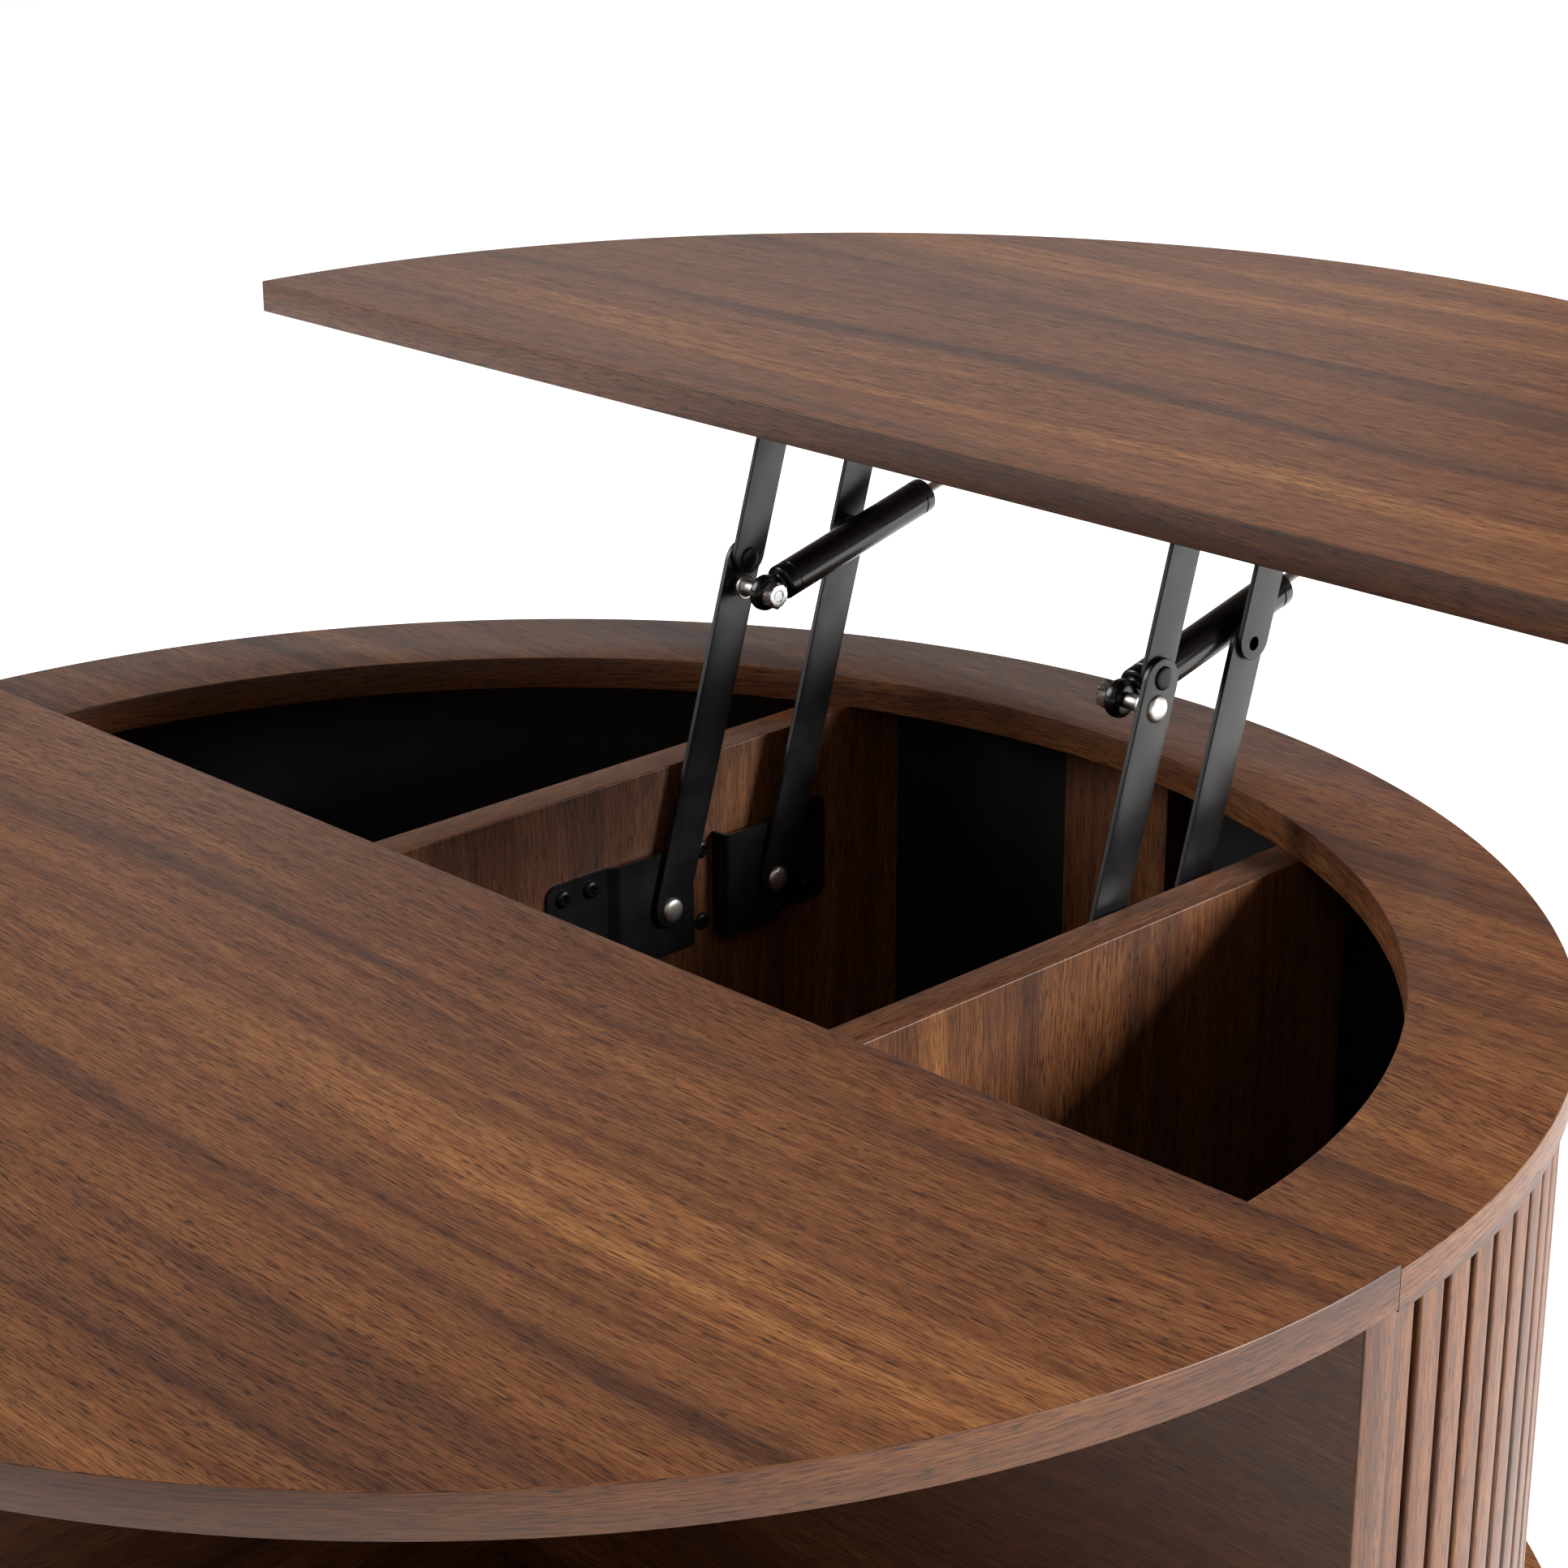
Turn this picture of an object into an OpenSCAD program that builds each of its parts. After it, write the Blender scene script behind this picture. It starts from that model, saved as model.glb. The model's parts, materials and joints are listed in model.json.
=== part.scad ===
// Round lift-top coffee table. Origin: on the floor, under the centre of the round top.
// +Z up, +Y towards the side the lid lifts out to, X across the table. The lid is raised.

/* [Table] */
// Radius of the fixed top and of the ring around the storage opening
top_r = 400; // [385:1:480]
// How far the base board stands out past the round top
base_lip = 24; // [5:1:50]
// How far the lid's radius is larger than the round top's
lid_overhang = 14; // [5:1:40]
// Height of the body, from the base board to the underside of the ring
body_h = 285; // [235:1:345]
// Height of the legs, plates and glides together
leg_h = 100; // [60:1:160]

/* [Boards] */
// Thickness of the base board, the ring and the lid
board_t = 15; // [12:0.5:18]
// Thickness of the partition behind the open shelf
partition_t = 16; // [12:0.5:18]
// Thickness of the shelf divider
shelf_divider_t = 15.5; // [12:0.5:18]
// Thickness of the two storage dividers
divider_t = 18; // [12:0.5:20]
// Thickness of the fixed top
fixed_t = 16; // [14:0.5:20]
// How far the fixed top stands above the ring
fixed_step = 2; // [1:0.5:3]
// Width of the ring around the storage opening
ring_w = 62; // [45:1:70]
// Rear face of the partition, and straight rear edge of the fixed top
partition_y = 21; // [10:0.5:24]
// Inner faces of the storage dividers, from the middle of the table
divider_x = 125; // [115:1:150]
// Face of the shelf divider that looks to the right
shelf_divider_x = -18.5; // [-60:0.5:60]
// How far the shelf divider stays back from the rim of the fixed top
shelf_divider_setback = 18; // [8:1:60]
// Distance of the outermost dowels from the end of their board
dowel_inset = 32; // [20:1:60]
// Radius of a dowel
dowel_r = 4; // [3:0.5:4]
// Length of a dowel, half of it in each board
dowel_l = 20; // [16:1:24]
// Gap between boards that lie edge to edge
board_gap = 0.4; // [0.2:0.1:1]

/* [Curved wall] */
// How far the slats stay inside the rim of the ring
slat_setback = 4.2; // [0:0.1:10]
// Radial thickness of a slat
slat_t = 6; // [4:0.5:8]
// Width of a slat
slat_w = 15.5; // [10:0.5:17]
// Number of slats round the rear of the body
slat_count = 61; // [40:1:64]
// Width of the bevel along a slat
slat_bevel = 1.2; // [0.5:0.1:2]
// Thickness of the curved board behind the slats
core_t = 16.8; // [12:0.1:20]
// Thickness of the black lining inside the curved board
lining_t = 3; // [2:0.5:5]
// Width of the post in the middle of the rear wall
post_w = 60; // [30:1:90]
// Thickness of that post
post_t = 9; // [6:1:15]
// Gap between the lining and what stands against it
wall_fit = 0.3; // [0.1:0.1:1]

/* [Legs] */
// Radius of a leg at the base board
leg_top_r = 24; // [18:1:30]
// Radius of a leg at the glide
leg_foot_r = 15; // [10:1:20]
// Distance of a leg from the middle of the table
leg_place_r = 290; // [240:1:340]
// Thickness of a leg plate
leg_plate_t = 3; // [2:0.5:4]
// Thickness of a glide
glide_t = 4; // [3:0.5:6]

/* [Lift] */
// Distance between the pivots of an arm
arm_l = 162; // [155:0.5:166]
// Width of an arm
arm_w = 20; // [16:0.5:20]
// Width of a lid bracket's leg
lid_leg_w = 18; // [14:0.5:18]
// Thickness of an arm
arm_t = 2.5; // [2:0.1:2.5]
// How far an arm leans past upright when the lid is raised
arm_lean = 16.6; // [14:0.1:18]
// Lower front pivot, from the middle of the table
pivot_y = 194.5; // [190:0.5:210]
// Distance between the front and the rear arm
pivot_pitch = 61; // [55:1:70]
// Depth of the lower pivots below the top face of the ring
pivot_drop = 80.8; // [78:0.1:90]
// Gap between the plates that turn on each other
plate_gap = 0.2; // [0.15:0.05:0.3]
// How far an arm's round end is moved back towards its middle
end_inset = 2; // [0:0.5:3]
// Radius of the rivets' shanks
rivet_r = 3; // [2.5:0.1:3.5]
// Radial clearance of a pivot
pivot_play = 0.05; // [0.02:0.01:0.1]
// Radial clearance where the rear arm meets the lid bracket
open_pivot_play = 0.4; // [0.3:0.05:1]
// Radius of a rivet's head
rivet_head_r = 5.8; // [4.5:0.1:6.5]
// Height of a rivet's head
rivet_head_h = 2; // [1.2:0.1:2]
// Closed lid's underside above the fixed top
lid_rest_gap = 0.5; // [0.3:0.1:2]
// Raised lid's centre, towards the rear
lid_raised_y = 204; // [195:1:220]
// Raised lid's underside above the top face of the ring
lid_raised_z = 144; // [140:0.5:150]
// Straight front edge of the lid, from the lid's centre
lid_edge_y = -1; // [-15:1:0]

/* [Strut] */
// Distance from the upper pivot down the front arm to the strut's stud
stud_back = 12.5; // [12:0.5:15]
// Radius of the stud
stud_r = 2.5; // [2:0.1:2.8]
// Radius of the strut's cylinder
strut_r = 8; // [6:0.1:9]
// Radius of the strut's rod
strut_rod_r = 3; // [2.5:0.1:4]
// Length of the strut between its eyes when the lid is raised
strut_l = 150; // [140:0.5:165]
// Slope of the strut when the lid is raised
strut_slope = 14; // [10:0.5:20]
// Length of the strut's cylinder
strut_cylinder_l = 95; // [85:0.5:100]
// Distance from the rear arm to the strut's cylinder, across the table
strut_gap = 3.2; // [2.2:0.1:4]

/* [Hidden] */
$fn = 96;

walnut = "#6e4630";
black = "#141414";
nickel = "#c8c4bc";

// How far a cut reaches past the face that it opens
past = 1;

// Radii
base_r = top_r + base_lip;
lid_r = top_r + lid_overhang;
opening_r = top_r - ring_w;
slat_r = top_r - slat_setback;

// Heights
base_z = leg_h;
floor_z = leg_h + board_t;
ring_z = floor_z + body_h;
deck_z = ring_z + board_t;
fixed_top_z = deck_z + fixed_step;
shelf_h = fixed_top_z - fixed_t - floor_z;
lid_z = deck_z + lid_raised_z;

// Curved wall, from outside to inside
core_outer_r = slat_r - slat_t;
core_inner_r = core_outer_r - core_t;
lining_inner_r = core_inner_r - lining_t;
wall_start_y = partition_y + board_gap;
slat_end_gap = 1;
slat_root = 0.4;
slat_start = asin((wall_start_y + slat_w / 2 + slat_end_gap) / core_outer_r);
slat_step = (180 - 2 * slat_start) / (slat_count - 1);

// Plates of the lift, as distances from the divider's face
flange_t = 1.5;
front_hat_d = 4.5;
front_arm_d = front_hat_d + plate_gap;
leg_d = front_arm_d + arm_t + plate_gap;
lid_leg_t = 2.2;
rear_arm_d = leg_d + lid_leg_t + plate_gap;
rear_hat_d = rear_arm_d - plate_gap;
strut_d = rear_arm_d + arm_t + strut_gap + strut_r;

// Pivots, as [y, z]
lean = [sin(arm_lean), cos(arm_lean)];
front_base = [pivot_y, deck_z - pivot_drop];
rear_base = front_base + [pivot_pitch, 0];
front_lid = front_base + arm_l * lean;
rear_lid = rear_base + arm_l * lean;
stud = front_base + (arm_l - stud_back) * lean;
strut_dir = [cos(strut_slope), sin(strut_slope)];
hanger_pin = stud + strut_l * strut_dir;

// Base brackets, from the lower pivots: how far each reaches to the front, the rear, down and up
front_plate_fore = 68.5;
front_plate_aft = 17.5;
rear_plate_fore = 29.5;
rear_plate_aft = 41.5;
plate_below = 22.2;
plate_above = 27.8;
bracket_y0 = front_base[0] - front_plate_fore;
bracket_y1 = front_base[0] + front_plate_aft;
bracket_y2 = rear_base[0] - rear_plate_fore;
bracket_y3 = rear_base[0] + rear_plate_aft;
bracket_low = front_base[1] - plate_below;
bracket_high = front_base[1] + plate_above;

// Widths of the flat ends of the base brackets, which the screws hold against the divider
front_flange_w = 35;
rear_flange_w = 32;
front_step_y = bracket_y0 + front_flange_w;
rear_step_y = bracket_y3 - rear_flange_w;

// Screws, and their places on the base brackets
screw_r = 2;
screw_l = 10;
screw_play = 0.05;
screw_head_r = 4.2;
screw_head_h = 1.8;
recess_w = 4;
recess_slot = 0.9;
recess_depth = 0.8;
screw_rows = [bracket_high - 7, bracket_low + 8];
screw_columns = [bracket_y0 + 9, bracket_y0 + 25, bracket_y3 - 12];
bracket_screws = [for (y = screw_columns, z = screw_rows) [y, z]];
divider_screws = [for (z = screw_rows) [(bracket_y1 + bracket_y2) / 2, z]];

// Lid bracket
lid_flange_t = 2;
lid_flange_w = 24;
lid_flange_start = 4;
lid_flange_past = 14;
lid_flange_y0 = front_lid[0] + lid_flange_start;
lid_flange_y1 = hanger_pin[0] + lid_flange_past;
lid_screw_inset = 7;
lid_screw_end = 8;
lid_screw_line = divider_x - leg_d - lid_flange_w + lid_screw_inset;
lid_screw_places = [
    lid_flange_y0 + lid_screw_end,
    (lid_flange_y0 + lid_flange_y1) / 2,
    lid_flange_y1 - lid_screw_end,
];
head_play = 0.05;
low_head_r = 5;
low_head_h = 1.2;
bumper_h = fixed_step + lid_rest_gap;
bumper_r = 7;
bumper_angles = [20, 60, 120, 160];

// Strut: its eyes, the tab that holds its upper pin, and what it holds inside
eye_t = 7;
eye_r = 8;
eye_gap = 0.3;
hanger_t = 2.5;
hanger_half = 8;
hanger_d = strut_d - eye_t / 2 - eye_gap - hanger_t;
hanger_head_d = strut_d + eye_t / 2 + eye_gap;
hanger_head_h = 1.7;
neck_r = 3.8;
weld = 1;
cylinder_start = 9;
cylinder_end = cylinder_start + strut_cylinder_l;
bottom_t = 2;
gland_l = 5;
bore_r = 5.5;
piston_l = 6;
piston_play = 0.3;
piston_back = 3;
piston_s = cylinder_end - gland_l - piston_back - piston_l;

// Stud that carries the strut, with its collar and nut
open_stud_gap = 0.4;
stud_end = strut_d - eye_t / 2 - open_stud_gap;
collar_gap = 0.4;
collar_d = leg_d + lid_leg_t + collar_gap;
collar_t = 3;
collar_r = 5.5;
sleeve_r = 3.5;
nut_t = 5;
nut_r = 6.3;

// Legs
leg_screw_gap = 7;
leg_screw_place = leg_top_r + leg_screw_gap;
leg_plate_margin = 8;
leg_plate_half = leg_screw_place + leg_plate_margin;
glide_inset = 1;

// A flat plate drawn as [y, z] that starts at distance d from the right divider and is t thick
module plate_at(d, t) {
    translate([divider_x - d - t, 0, 0]) rotate([90, 0, 90]) linear_extrude(t) children();
}

// A round pin along X, centred on the pivot p, from distance d0 to d1 from the right divider
module pin_at(p, d0, d1, r) {
    translate([divider_x - d1, p[0], p[1]]) rotate([0, 90, 0]) cylinder(h = d1 - d0, r = r);
}

// A hole along X at the pivot p, right through the right-hand lift
module hole_at(p, r) {
    pin_at(p, -past, strut_d + eye_t, r);
}

// Turns a part of the right-hand lift into the left-hand one
module on_side(left) {
    if (left) mirror([1, 0, 0]) children();
    else children();
}

module both_sides() {
    on_side(false) children();
    on_side(true) children();
}

// The part of a ring behind the line y = y0
module rear_sector(outer, inner, h, y0) {
    difference() {
        intersection() {
            cylinder(h = h, r = outer, $fn = 180);
            translate([-outer - past, y0, -past]) cube([2 * (outer + past), outer, h + 2 * past]);
        }
        translate([0, 0, -past]) cylinder(h = h + 2 * past, r = inner, $fn = 180);
    }
}

// Places [x, y] of the dowels that join the upright boards to the boards below and above them
rim_gap = 0.5;
partition_half = sqrt(pow(top_r - rim_gap, 2) - pow(partition_y, 2));
partition_dowel_y = partition_y - partition_t / 2;
partition_dowels = [
    for (side = [-1, 1], share = [0.25, 0.62, 1])
        [side * share * (partition_half - dowel_inset), partition_dowel_y]
];
shelf_front_y = -(top_r - shelf_divider_setback);
shelf_rear_y = partition_y - partition_t;
shelf_dowel_x = shelf_divider_x - shelf_divider_t / 2;
shelf_dowels = [
    for (y = [shelf_front_y + dowel_inset, (shelf_front_y + shelf_rear_y) / 2, shelf_rear_y - dowel_inset])
        [shelf_dowel_x, y]
];
divider_end_r = lining_inner_r - wall_fit;
divider_end_y = sqrt(pow(divider_end_r, 2) - pow(divider_x + divider_t, 2));
storage_dowel_y = [
    partition_y + dowel_inset,
    (partition_y + divider_end_y) / 2,
    divider_end_y - dowel_inset,
];
storage_dowels = [for (side = [-1, 1], y = storage_dowel_y) [side * (divider_x + divider_t / 2), y]];
low_dowels = concat(partition_dowels, shelf_dowels, storage_dowels);
high_dowels = concat(partition_dowels, shelf_dowels);

module dowel_row(places, z) {
    for (p = places) translate([p[0], p[1], z - dowel_l / 2]) cylinder(h = dowel_l, r = dowel_r, $fn = 32);
}

module all_dowels() {
    dowel_row(low_dowels, floor_z);
    dowel_row(high_dowels, fixed_top_z - fixed_t);
}

// A board with its dowel holes
module drilled() {
    difference() {
        children();
        all_dowels();
    }
}

module dowels() {
    color("#d8b98a") all_dowels();
}

module base_board() {
    color(walnut) drilled() difference() {
        translate([0, 0, base_z]) cylinder(h = board_t, r = base_r, $fn = 180);
        each_leg_place() for (sx = [-1, 1], sy = [-1, 1])
            translate([sx * leg_screw_place, sy * leg_screw_place, base_z - past])
                cylinder(h = screw_l + past, r = screw_r + screw_play);
    }
}

module leg_place(right, rear) {
    translate([(right ? 1 : -1) * leg_place_r * sin(45), (rear ? 1 : -1) * leg_place_r * cos(45), 0])
        children();
}

module each_leg_place() {
    for (right = [false, true], rear = [false, true]) leg_place(right, rear) children();
    children();
}

module leg() {
    color(walnut) translate([0, 0, glide_t])
        cylinder(h = leg_h - leg_plate_t - glide_t, r1 = leg_foot_r, r2 = leg_top_r);
}

module leg_plates() {
    color(black) each_leg_place() translate([0, 0, leg_h - leg_plate_t]) difference() {
        translate([-leg_plate_half, -leg_plate_half, 0])
            cube([2 * leg_plate_half, 2 * leg_plate_half, leg_plate_t]);
        for (sx = [-1, 1], sy = [-1, 1])
            translate([sx * leg_screw_place, sy * leg_screw_place, -past])
                cylinder(h = leg_plate_t + 2 * past, r = screw_r + screw_play);
    }
}

module leg_plate_screws() {
    color(nickel) each_leg_place() for (sx = [-1, 1], sy = [-1, 1])
        translate([sx * leg_screw_place, sy * leg_screw_place, leg_h - leg_plate_t]) {
            translate([0, 0, -screw_head_h]) cylinder(h = screw_head_h, r = screw_head_r);
            cylinder(h = leg_plate_t + screw_l, r = screw_r);
        }
}

module glides() {
    color("#3a3532") each_leg_place() cylinder(h = glide_t, r = leg_foot_r - glide_inset);
}

module partition() {
    color(walnut) drilled() translate([-partition_half, partition_y - partition_t, floor_z])
        cube([2 * partition_half, partition_t, shelf_h]);
}

module shelf_divider() {
    color(walnut) drilled() translate([shelf_divider_x - shelf_divider_t, shelf_front_y, floor_z])
        cube([shelf_divider_t, shelf_rear_y - shelf_front_y, shelf_h]);
}

module divider() {
    color(walnut) drilled() difference() {
        intersection() {
            translate([divider_x, partition_y, floor_z]) cube([divider_t, top_r, body_h]);
            translate([0, 0, floor_z]) cylinder(h = body_h, r = divider_end_r, $fn = 180);
        }
        for (p = concat(bracket_screws, divider_screws))
            pin_at(p, -screw_l, past, screw_r + screw_play);
    }
}

module rear_post() {
    back_y = sqrt(pow(divider_end_r, 2) - pow(post_w / 2, 2));
    color(walnut) translate([-post_w / 2, back_y - post_t, floor_z]) cube([post_w, post_t, body_h]);
}

// One of the curved panels of the rear wall, between two angles from the right-hand end
module wall_panel(from, to) {
    reach = 2 * core_outer_r;
    color("#3b2a20") translate([0, 0, floor_z]) intersection() {
        rear_sector(core_outer_r, core_inner_r, body_h, wall_start_y);
        linear_extrude(body_h) panel_wedge(from, to, reach);
    }
}

// A wedge between two angles, moved back from each edge by half a board gap where it meets another
module panel_wedge(from, to, reach) {
    difference() {
        polygon([[0, 0], reach * [cos(from), sin(from)], reach * [cos(to), sin(to)]]);
        if (from > 0) rotate(from) translate([0, -past]) square([reach, past + board_gap / 2]);
        if (to < 180) rotate(to) translate([0, -board_gap / 2]) square([reach, past + board_gap / 2]);
    }
}

module wall_lining() {
    color(black) translate([0, 0, floor_z])
        rear_sector(core_inner_r, lining_inner_r, body_h, wall_start_y);
}

module slat_outline() {
    polygon([
        [-slat_root, -slat_w / 2], [slat_t - slat_bevel, -slat_w / 2],
        [slat_t, -slat_w / 2 + slat_bevel], [slat_t, slat_w / 2 - slat_bevel],
        [slat_t - slat_bevel, slat_w / 2], [-slat_root, slat_w / 2],
    ]);
}

module wall_slats() {
    color(walnut) difference() {
        for (i = [0 : slat_count - 1])
            rotate(slat_start + i * slat_step) translate([core_outer_r, 0, floor_z])
                linear_extrude(body_h) slat_outline();
        translate([0, 0, floor_z - past])
            cylinder(h = body_h + 2 * past, r = core_outer_r, $fn = 180);
    }
}

module ring_top() {
    color(walnut) translate([0, 0, ring_z]) rear_sector(top_r, opening_r, board_t, wall_start_y);
}

module fixed_top() {
    color(walnut) drilled() translate([0, 0, fixed_top_z - fixed_t]) difference() {
        cylinder(h = fixed_t, r = top_r, $fn = 180);
        translate([-top_r - past, partition_y, -past])
            cube([2 * (top_r + past), top_r, fixed_t + 2 * past]);
    }
}

// Outline of the base bracket's flat parts
module bracket_outline(y0, y1) {
    translate([y0, bracket_low]) square([y1 - y0, bracket_high - bracket_low]);
}

// A raised part of the base bracket: its face at distance d, with two sides down to the divider
module hat(y0, y1, d) {
    plate_at(d - flange_t, flange_t) bracket_outline(y0, y1);
    plate_at(0, d) bracket_outline(y0, y0 + flange_t);
    plate_at(0, d) bracket_outline(y1 - flange_t, y1);
}

module bracket_screw_holes() {
    for (p = bracket_screws) pin_at(p, -past, flange_t + past, screw_r + screw_play);
}

module front_bracket() {
    color(black) difference() {
        union() {
            plate_at(0, flange_t) bracket_outline(bracket_y0, front_step_y + flange_t);
            hat(front_step_y, bracket_y1, front_hat_d);
        }
        bracket_screw_holes();
        pin_at(front_base, -past, front_hat_d + past, rivet_r);
    }
}

module rear_bracket() {
    color(black) difference() {
        union() {
            plate_at(0, flange_t) bracket_outline(rear_step_y - flange_t, bracket_y3);
            hat(bracket_y2, rear_step_y, rear_hat_d);
        }
        bracket_screw_holes();
        pin_at(rear_base, -past, rear_hat_d + past, rivet_r);
    }
}

// A pan-head screw that holds a sheet against the divider, seen from its drive end
module screw_at(p, seat) {
    difference() {
        union() {
            pin_at(p, -screw_l, seat, screw_r);
            pin_at(p, seat, seat + screw_head_h, screw_head_r);
        }
        plate_at(seat + screw_head_h - recess_depth, recess_depth + past) translate(p) {
            square([recess_w, recess_slot], center = true);
            square([recess_slot, recess_w], center = true);
        }
    }
}

module base_bracket_screws() {
    color(black) both_sides() {
        for (p = bracket_screws) screw_at(p, flange_t);
        for (p = divider_screws) screw_at(p, 0);
    }
}

// A rivet from distance foot to a head just clear of the plate face at distance face_d
module rivet(p, foot, face_d, head_r = rivet_head_r, head_h = rivet_head_h) {
    pin_at(p, foot, face_d + head_play, rivet_r);
    pin_at(p, face_d + head_play, face_d + head_play + head_h, head_r);
}

module front_base_rivets() {
    color(nickel) both_sides() rivet(front_base, front_hat_d - flange_t, front_arm_d + arm_t);
}

module rear_base_rivets() {
    color(nickel) both_sides() rivet(rear_base, rear_hat_d - flange_t, rear_arm_d + arm_t);
}

// Flat bar from p to q with round ends
module bar_outline(p, q, w) {
    v = q - p;
    len = norm(v);
    translate(p) rotate(atan2(v[1], v[0])) {
        translate([end_inset, -w / 2]) square([len - 2 * end_inset, w]);
        translate([end_inset, 0]) circle(r = w / 2);
        translate([len - end_inset, 0]) circle(r = w / 2);
    }
}

module front_arm() {
    color(black) difference() {
        plate_at(front_arm_d, arm_t) bar_outline(front_base, front_lid, arm_w);
        hole_at(front_base, rivet_r + pivot_play);
        hole_at(front_lid, rivet_r + pivot_play);
        hole_at(stud, stud_r);
    }
}

module rear_arm() {
    color(black) difference() {
        plate_at(rear_arm_d, arm_t) bar_outline(rear_base, rear_lid, arm_w);
        hole_at(rear_base, rivet_r + pivot_play);
        hole_at(rear_lid, rivet_r + open_pivot_play);
    }
}

module strut_studs() {
    color(nickel) both_sides() {
        pin_at(stud, front_arm_d, stud_end, stud_r);
        pin_at(stud, front_arm_d - rivet_head_h, front_arm_d, rivet_head_r);
    }
}

module stud_collars() {
    color(nickel) both_sides() difference() {
        union() {
            pin_at(stud, collar_d, collar_d + collar_t, collar_r);
            pin_at(stud, collar_d, stud_end, sleeve_r);
        }
        hole_at(stud, stud_r);
    }
}

module lid_panel() {
    color(walnut) difference() {
        translate([0, lid_raised_y, lid_z]) intersection() {
            cylinder(h = board_t, r = lid_r, $fn = 180);
            translate([-lid_r - past, lid_edge_y, -past])
                cube([2 * (lid_r + past), lid_r + past - lid_edge_y, board_t + 2 * past]);
        }
        both_sides() for (y = lid_screw_places)
            translate([lid_screw_line, y, lid_z - past])
                cylinder(h = screw_l + past, r = screw_r + screw_play);
    }
}

// A leg of the lid bracket, from pivot p up to the lid along the arms' lean
module lid_leg_outline(p) {
    up = (lid_z - p[1]) / lean[1];
    intersection() {
        translate(p) rotate(90 - arm_lean) {
            translate([end_inset, -lid_leg_w / 2]) square([up + lid_leg_w, lid_leg_w]);
            translate([end_inset, 0]) circle(r = lid_leg_w / 2);
        }
        square([2 * top_r, lid_z]);
    }
}

module lid_bracket() {
    color(black) difference() {
        union() {
            plate_at(leg_d, lid_leg_t) lid_leg_outline(front_lid);
            plate_at(leg_d, lid_leg_t) lid_leg_outline(rear_lid);
            plate_at(leg_d, lid_flange_w)
                translate([lid_flange_y0, lid_z - lid_flange_t])
                    square([lid_flange_y1 - lid_flange_y0, lid_flange_t]);
        }
        hole_at(front_lid, rivet_r);
        hole_at(rear_lid, rivet_r);
        for (y = lid_screw_places)
            translate([lid_screw_line, y, lid_z - lid_flange_t - past])
                cylinder(h = lid_flange_t + 2 * past, r = screw_r + screw_play);
    }
}

module lid_bracket_screws() {
    color(black) both_sides() for (y = lid_screw_places)
        translate([lid_screw_line, y, lid_z - lid_flange_t]) {
            translate([0, 0, -screw_head_h]) cylinder(h = screw_head_h, r = screw_head_r);
            cylinder(h = lid_flange_t + screw_l, r = screw_r);
        }
}

module lid_bumpers() {
    color("#2a2624") for (a = bumper_angles)
        translate([0, lid_raised_y, lid_z - bumper_h])
            rotate(a) translate([(top_r + opening_r) / 2, 0, 0]) cylinder(h = bumper_h, r = bumper_r);
}

module front_lid_rivets() {
    color(black) both_sides() {
        rivet(front_lid, front_arm_d - head_play, leg_d + lid_leg_t, low_head_r, low_head_h);
        pin_at(front_lid, front_arm_d - head_play - low_head_h, front_arm_d - head_play, low_head_r);
    }
}

module rear_lid_rivets() {
    color(black) both_sides() rivet(rear_lid, leg_d, rear_arm_d + arm_t, low_head_r, low_head_h);
}

// A tab that hangs from the lid bracket's flange and holds the strut's upper pin
module strut_hangers() {
    color(black) both_sides() difference() {
        plate_at(hanger_d, hanger_t) {
            translate([hanger_pin[0] - hanger_half, hanger_pin[1]])
                square([2 * hanger_half, lid_z - lid_flange_t - hanger_pin[1]]);
            translate(hanger_pin) circle(r = hanger_half);
        }
        hole_at(hanger_pin, rivet_r);
    }
}

module hanger_pins() {
    color(nickel) both_sides() {
        pin_at(hanger_pin, hanger_d, hanger_head_d, rivet_r);
        pin_at(hanger_pin, hanger_head_d, hanger_head_d + hanger_head_h, rivet_head_r);
    }
}

// Places a shape drawn along +X at the strut's stud, pointing to the hanger pin
module along_strut() {
    translate([divider_x - strut_d, stud[0], stud[1]]) rotate([0, 0, 90]) rotate([0, -strut_slope, 0])
        children();
}

// An eye at distance s along the strut
module eye(s, hole_r) {
    translate([s, 0, 0]) rotate([90, 0, 0]) difference() {
        translate([0, 0, -eye_t / 2]) cylinder(h = eye_t, r = eye_r);
        if (hole_r > 0) translate([0, 0, -eye_t]) cylinder(h = 2 * eye_t, r = hole_r);
    }
}

module strut_rod() {
    color(nickel) along_strut() {
        translate([piston_s, 0, 0]) rotate([0, 90, 0])
            cylinder(h = piston_l, r = bore_r - piston_play);
        translate([piston_s, 0, 0]) rotate([0, 90, 0])
            cylinder(h = strut_l - eye_r - piston_s + weld, r = strut_rod_r);
        eye(strut_l, rivet_r + pivot_play);
    }
}

module strut_cylinder() {
    color(black) along_strut() {
        eye(0, 0);
        translate([eye_r - weld, 0, 0]) rotate([0, 90, 0])
            cylinder(h = cylinder_start - eye_r + 2 * weld, r = neck_r);
        difference() {
            translate([cylinder_start, 0, 0]) rotate([0, 90, 0])
                cylinder(h = strut_cylinder_l, r = strut_r);
            translate([cylinder_start + bottom_t, 0, 0]) rotate([0, 90, 0])
                cylinder(h = strut_cylinder_l - gland_l - bottom_t, r = bore_r);
            translate([cylinder_end - gland_l - past, 0, 0]) rotate([0, 90, 0])
                cylinder(h = gland_l + 2 * past, r = strut_rod_r + pivot_play);
        }
    }
}

module strut_nuts() {
    color(nickel) both_sides()
        pin_at(stud, strut_d + eye_t / 2, strut_d + eye_t / 2 + nut_t, nut_r, $fn = 6);
}

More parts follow.
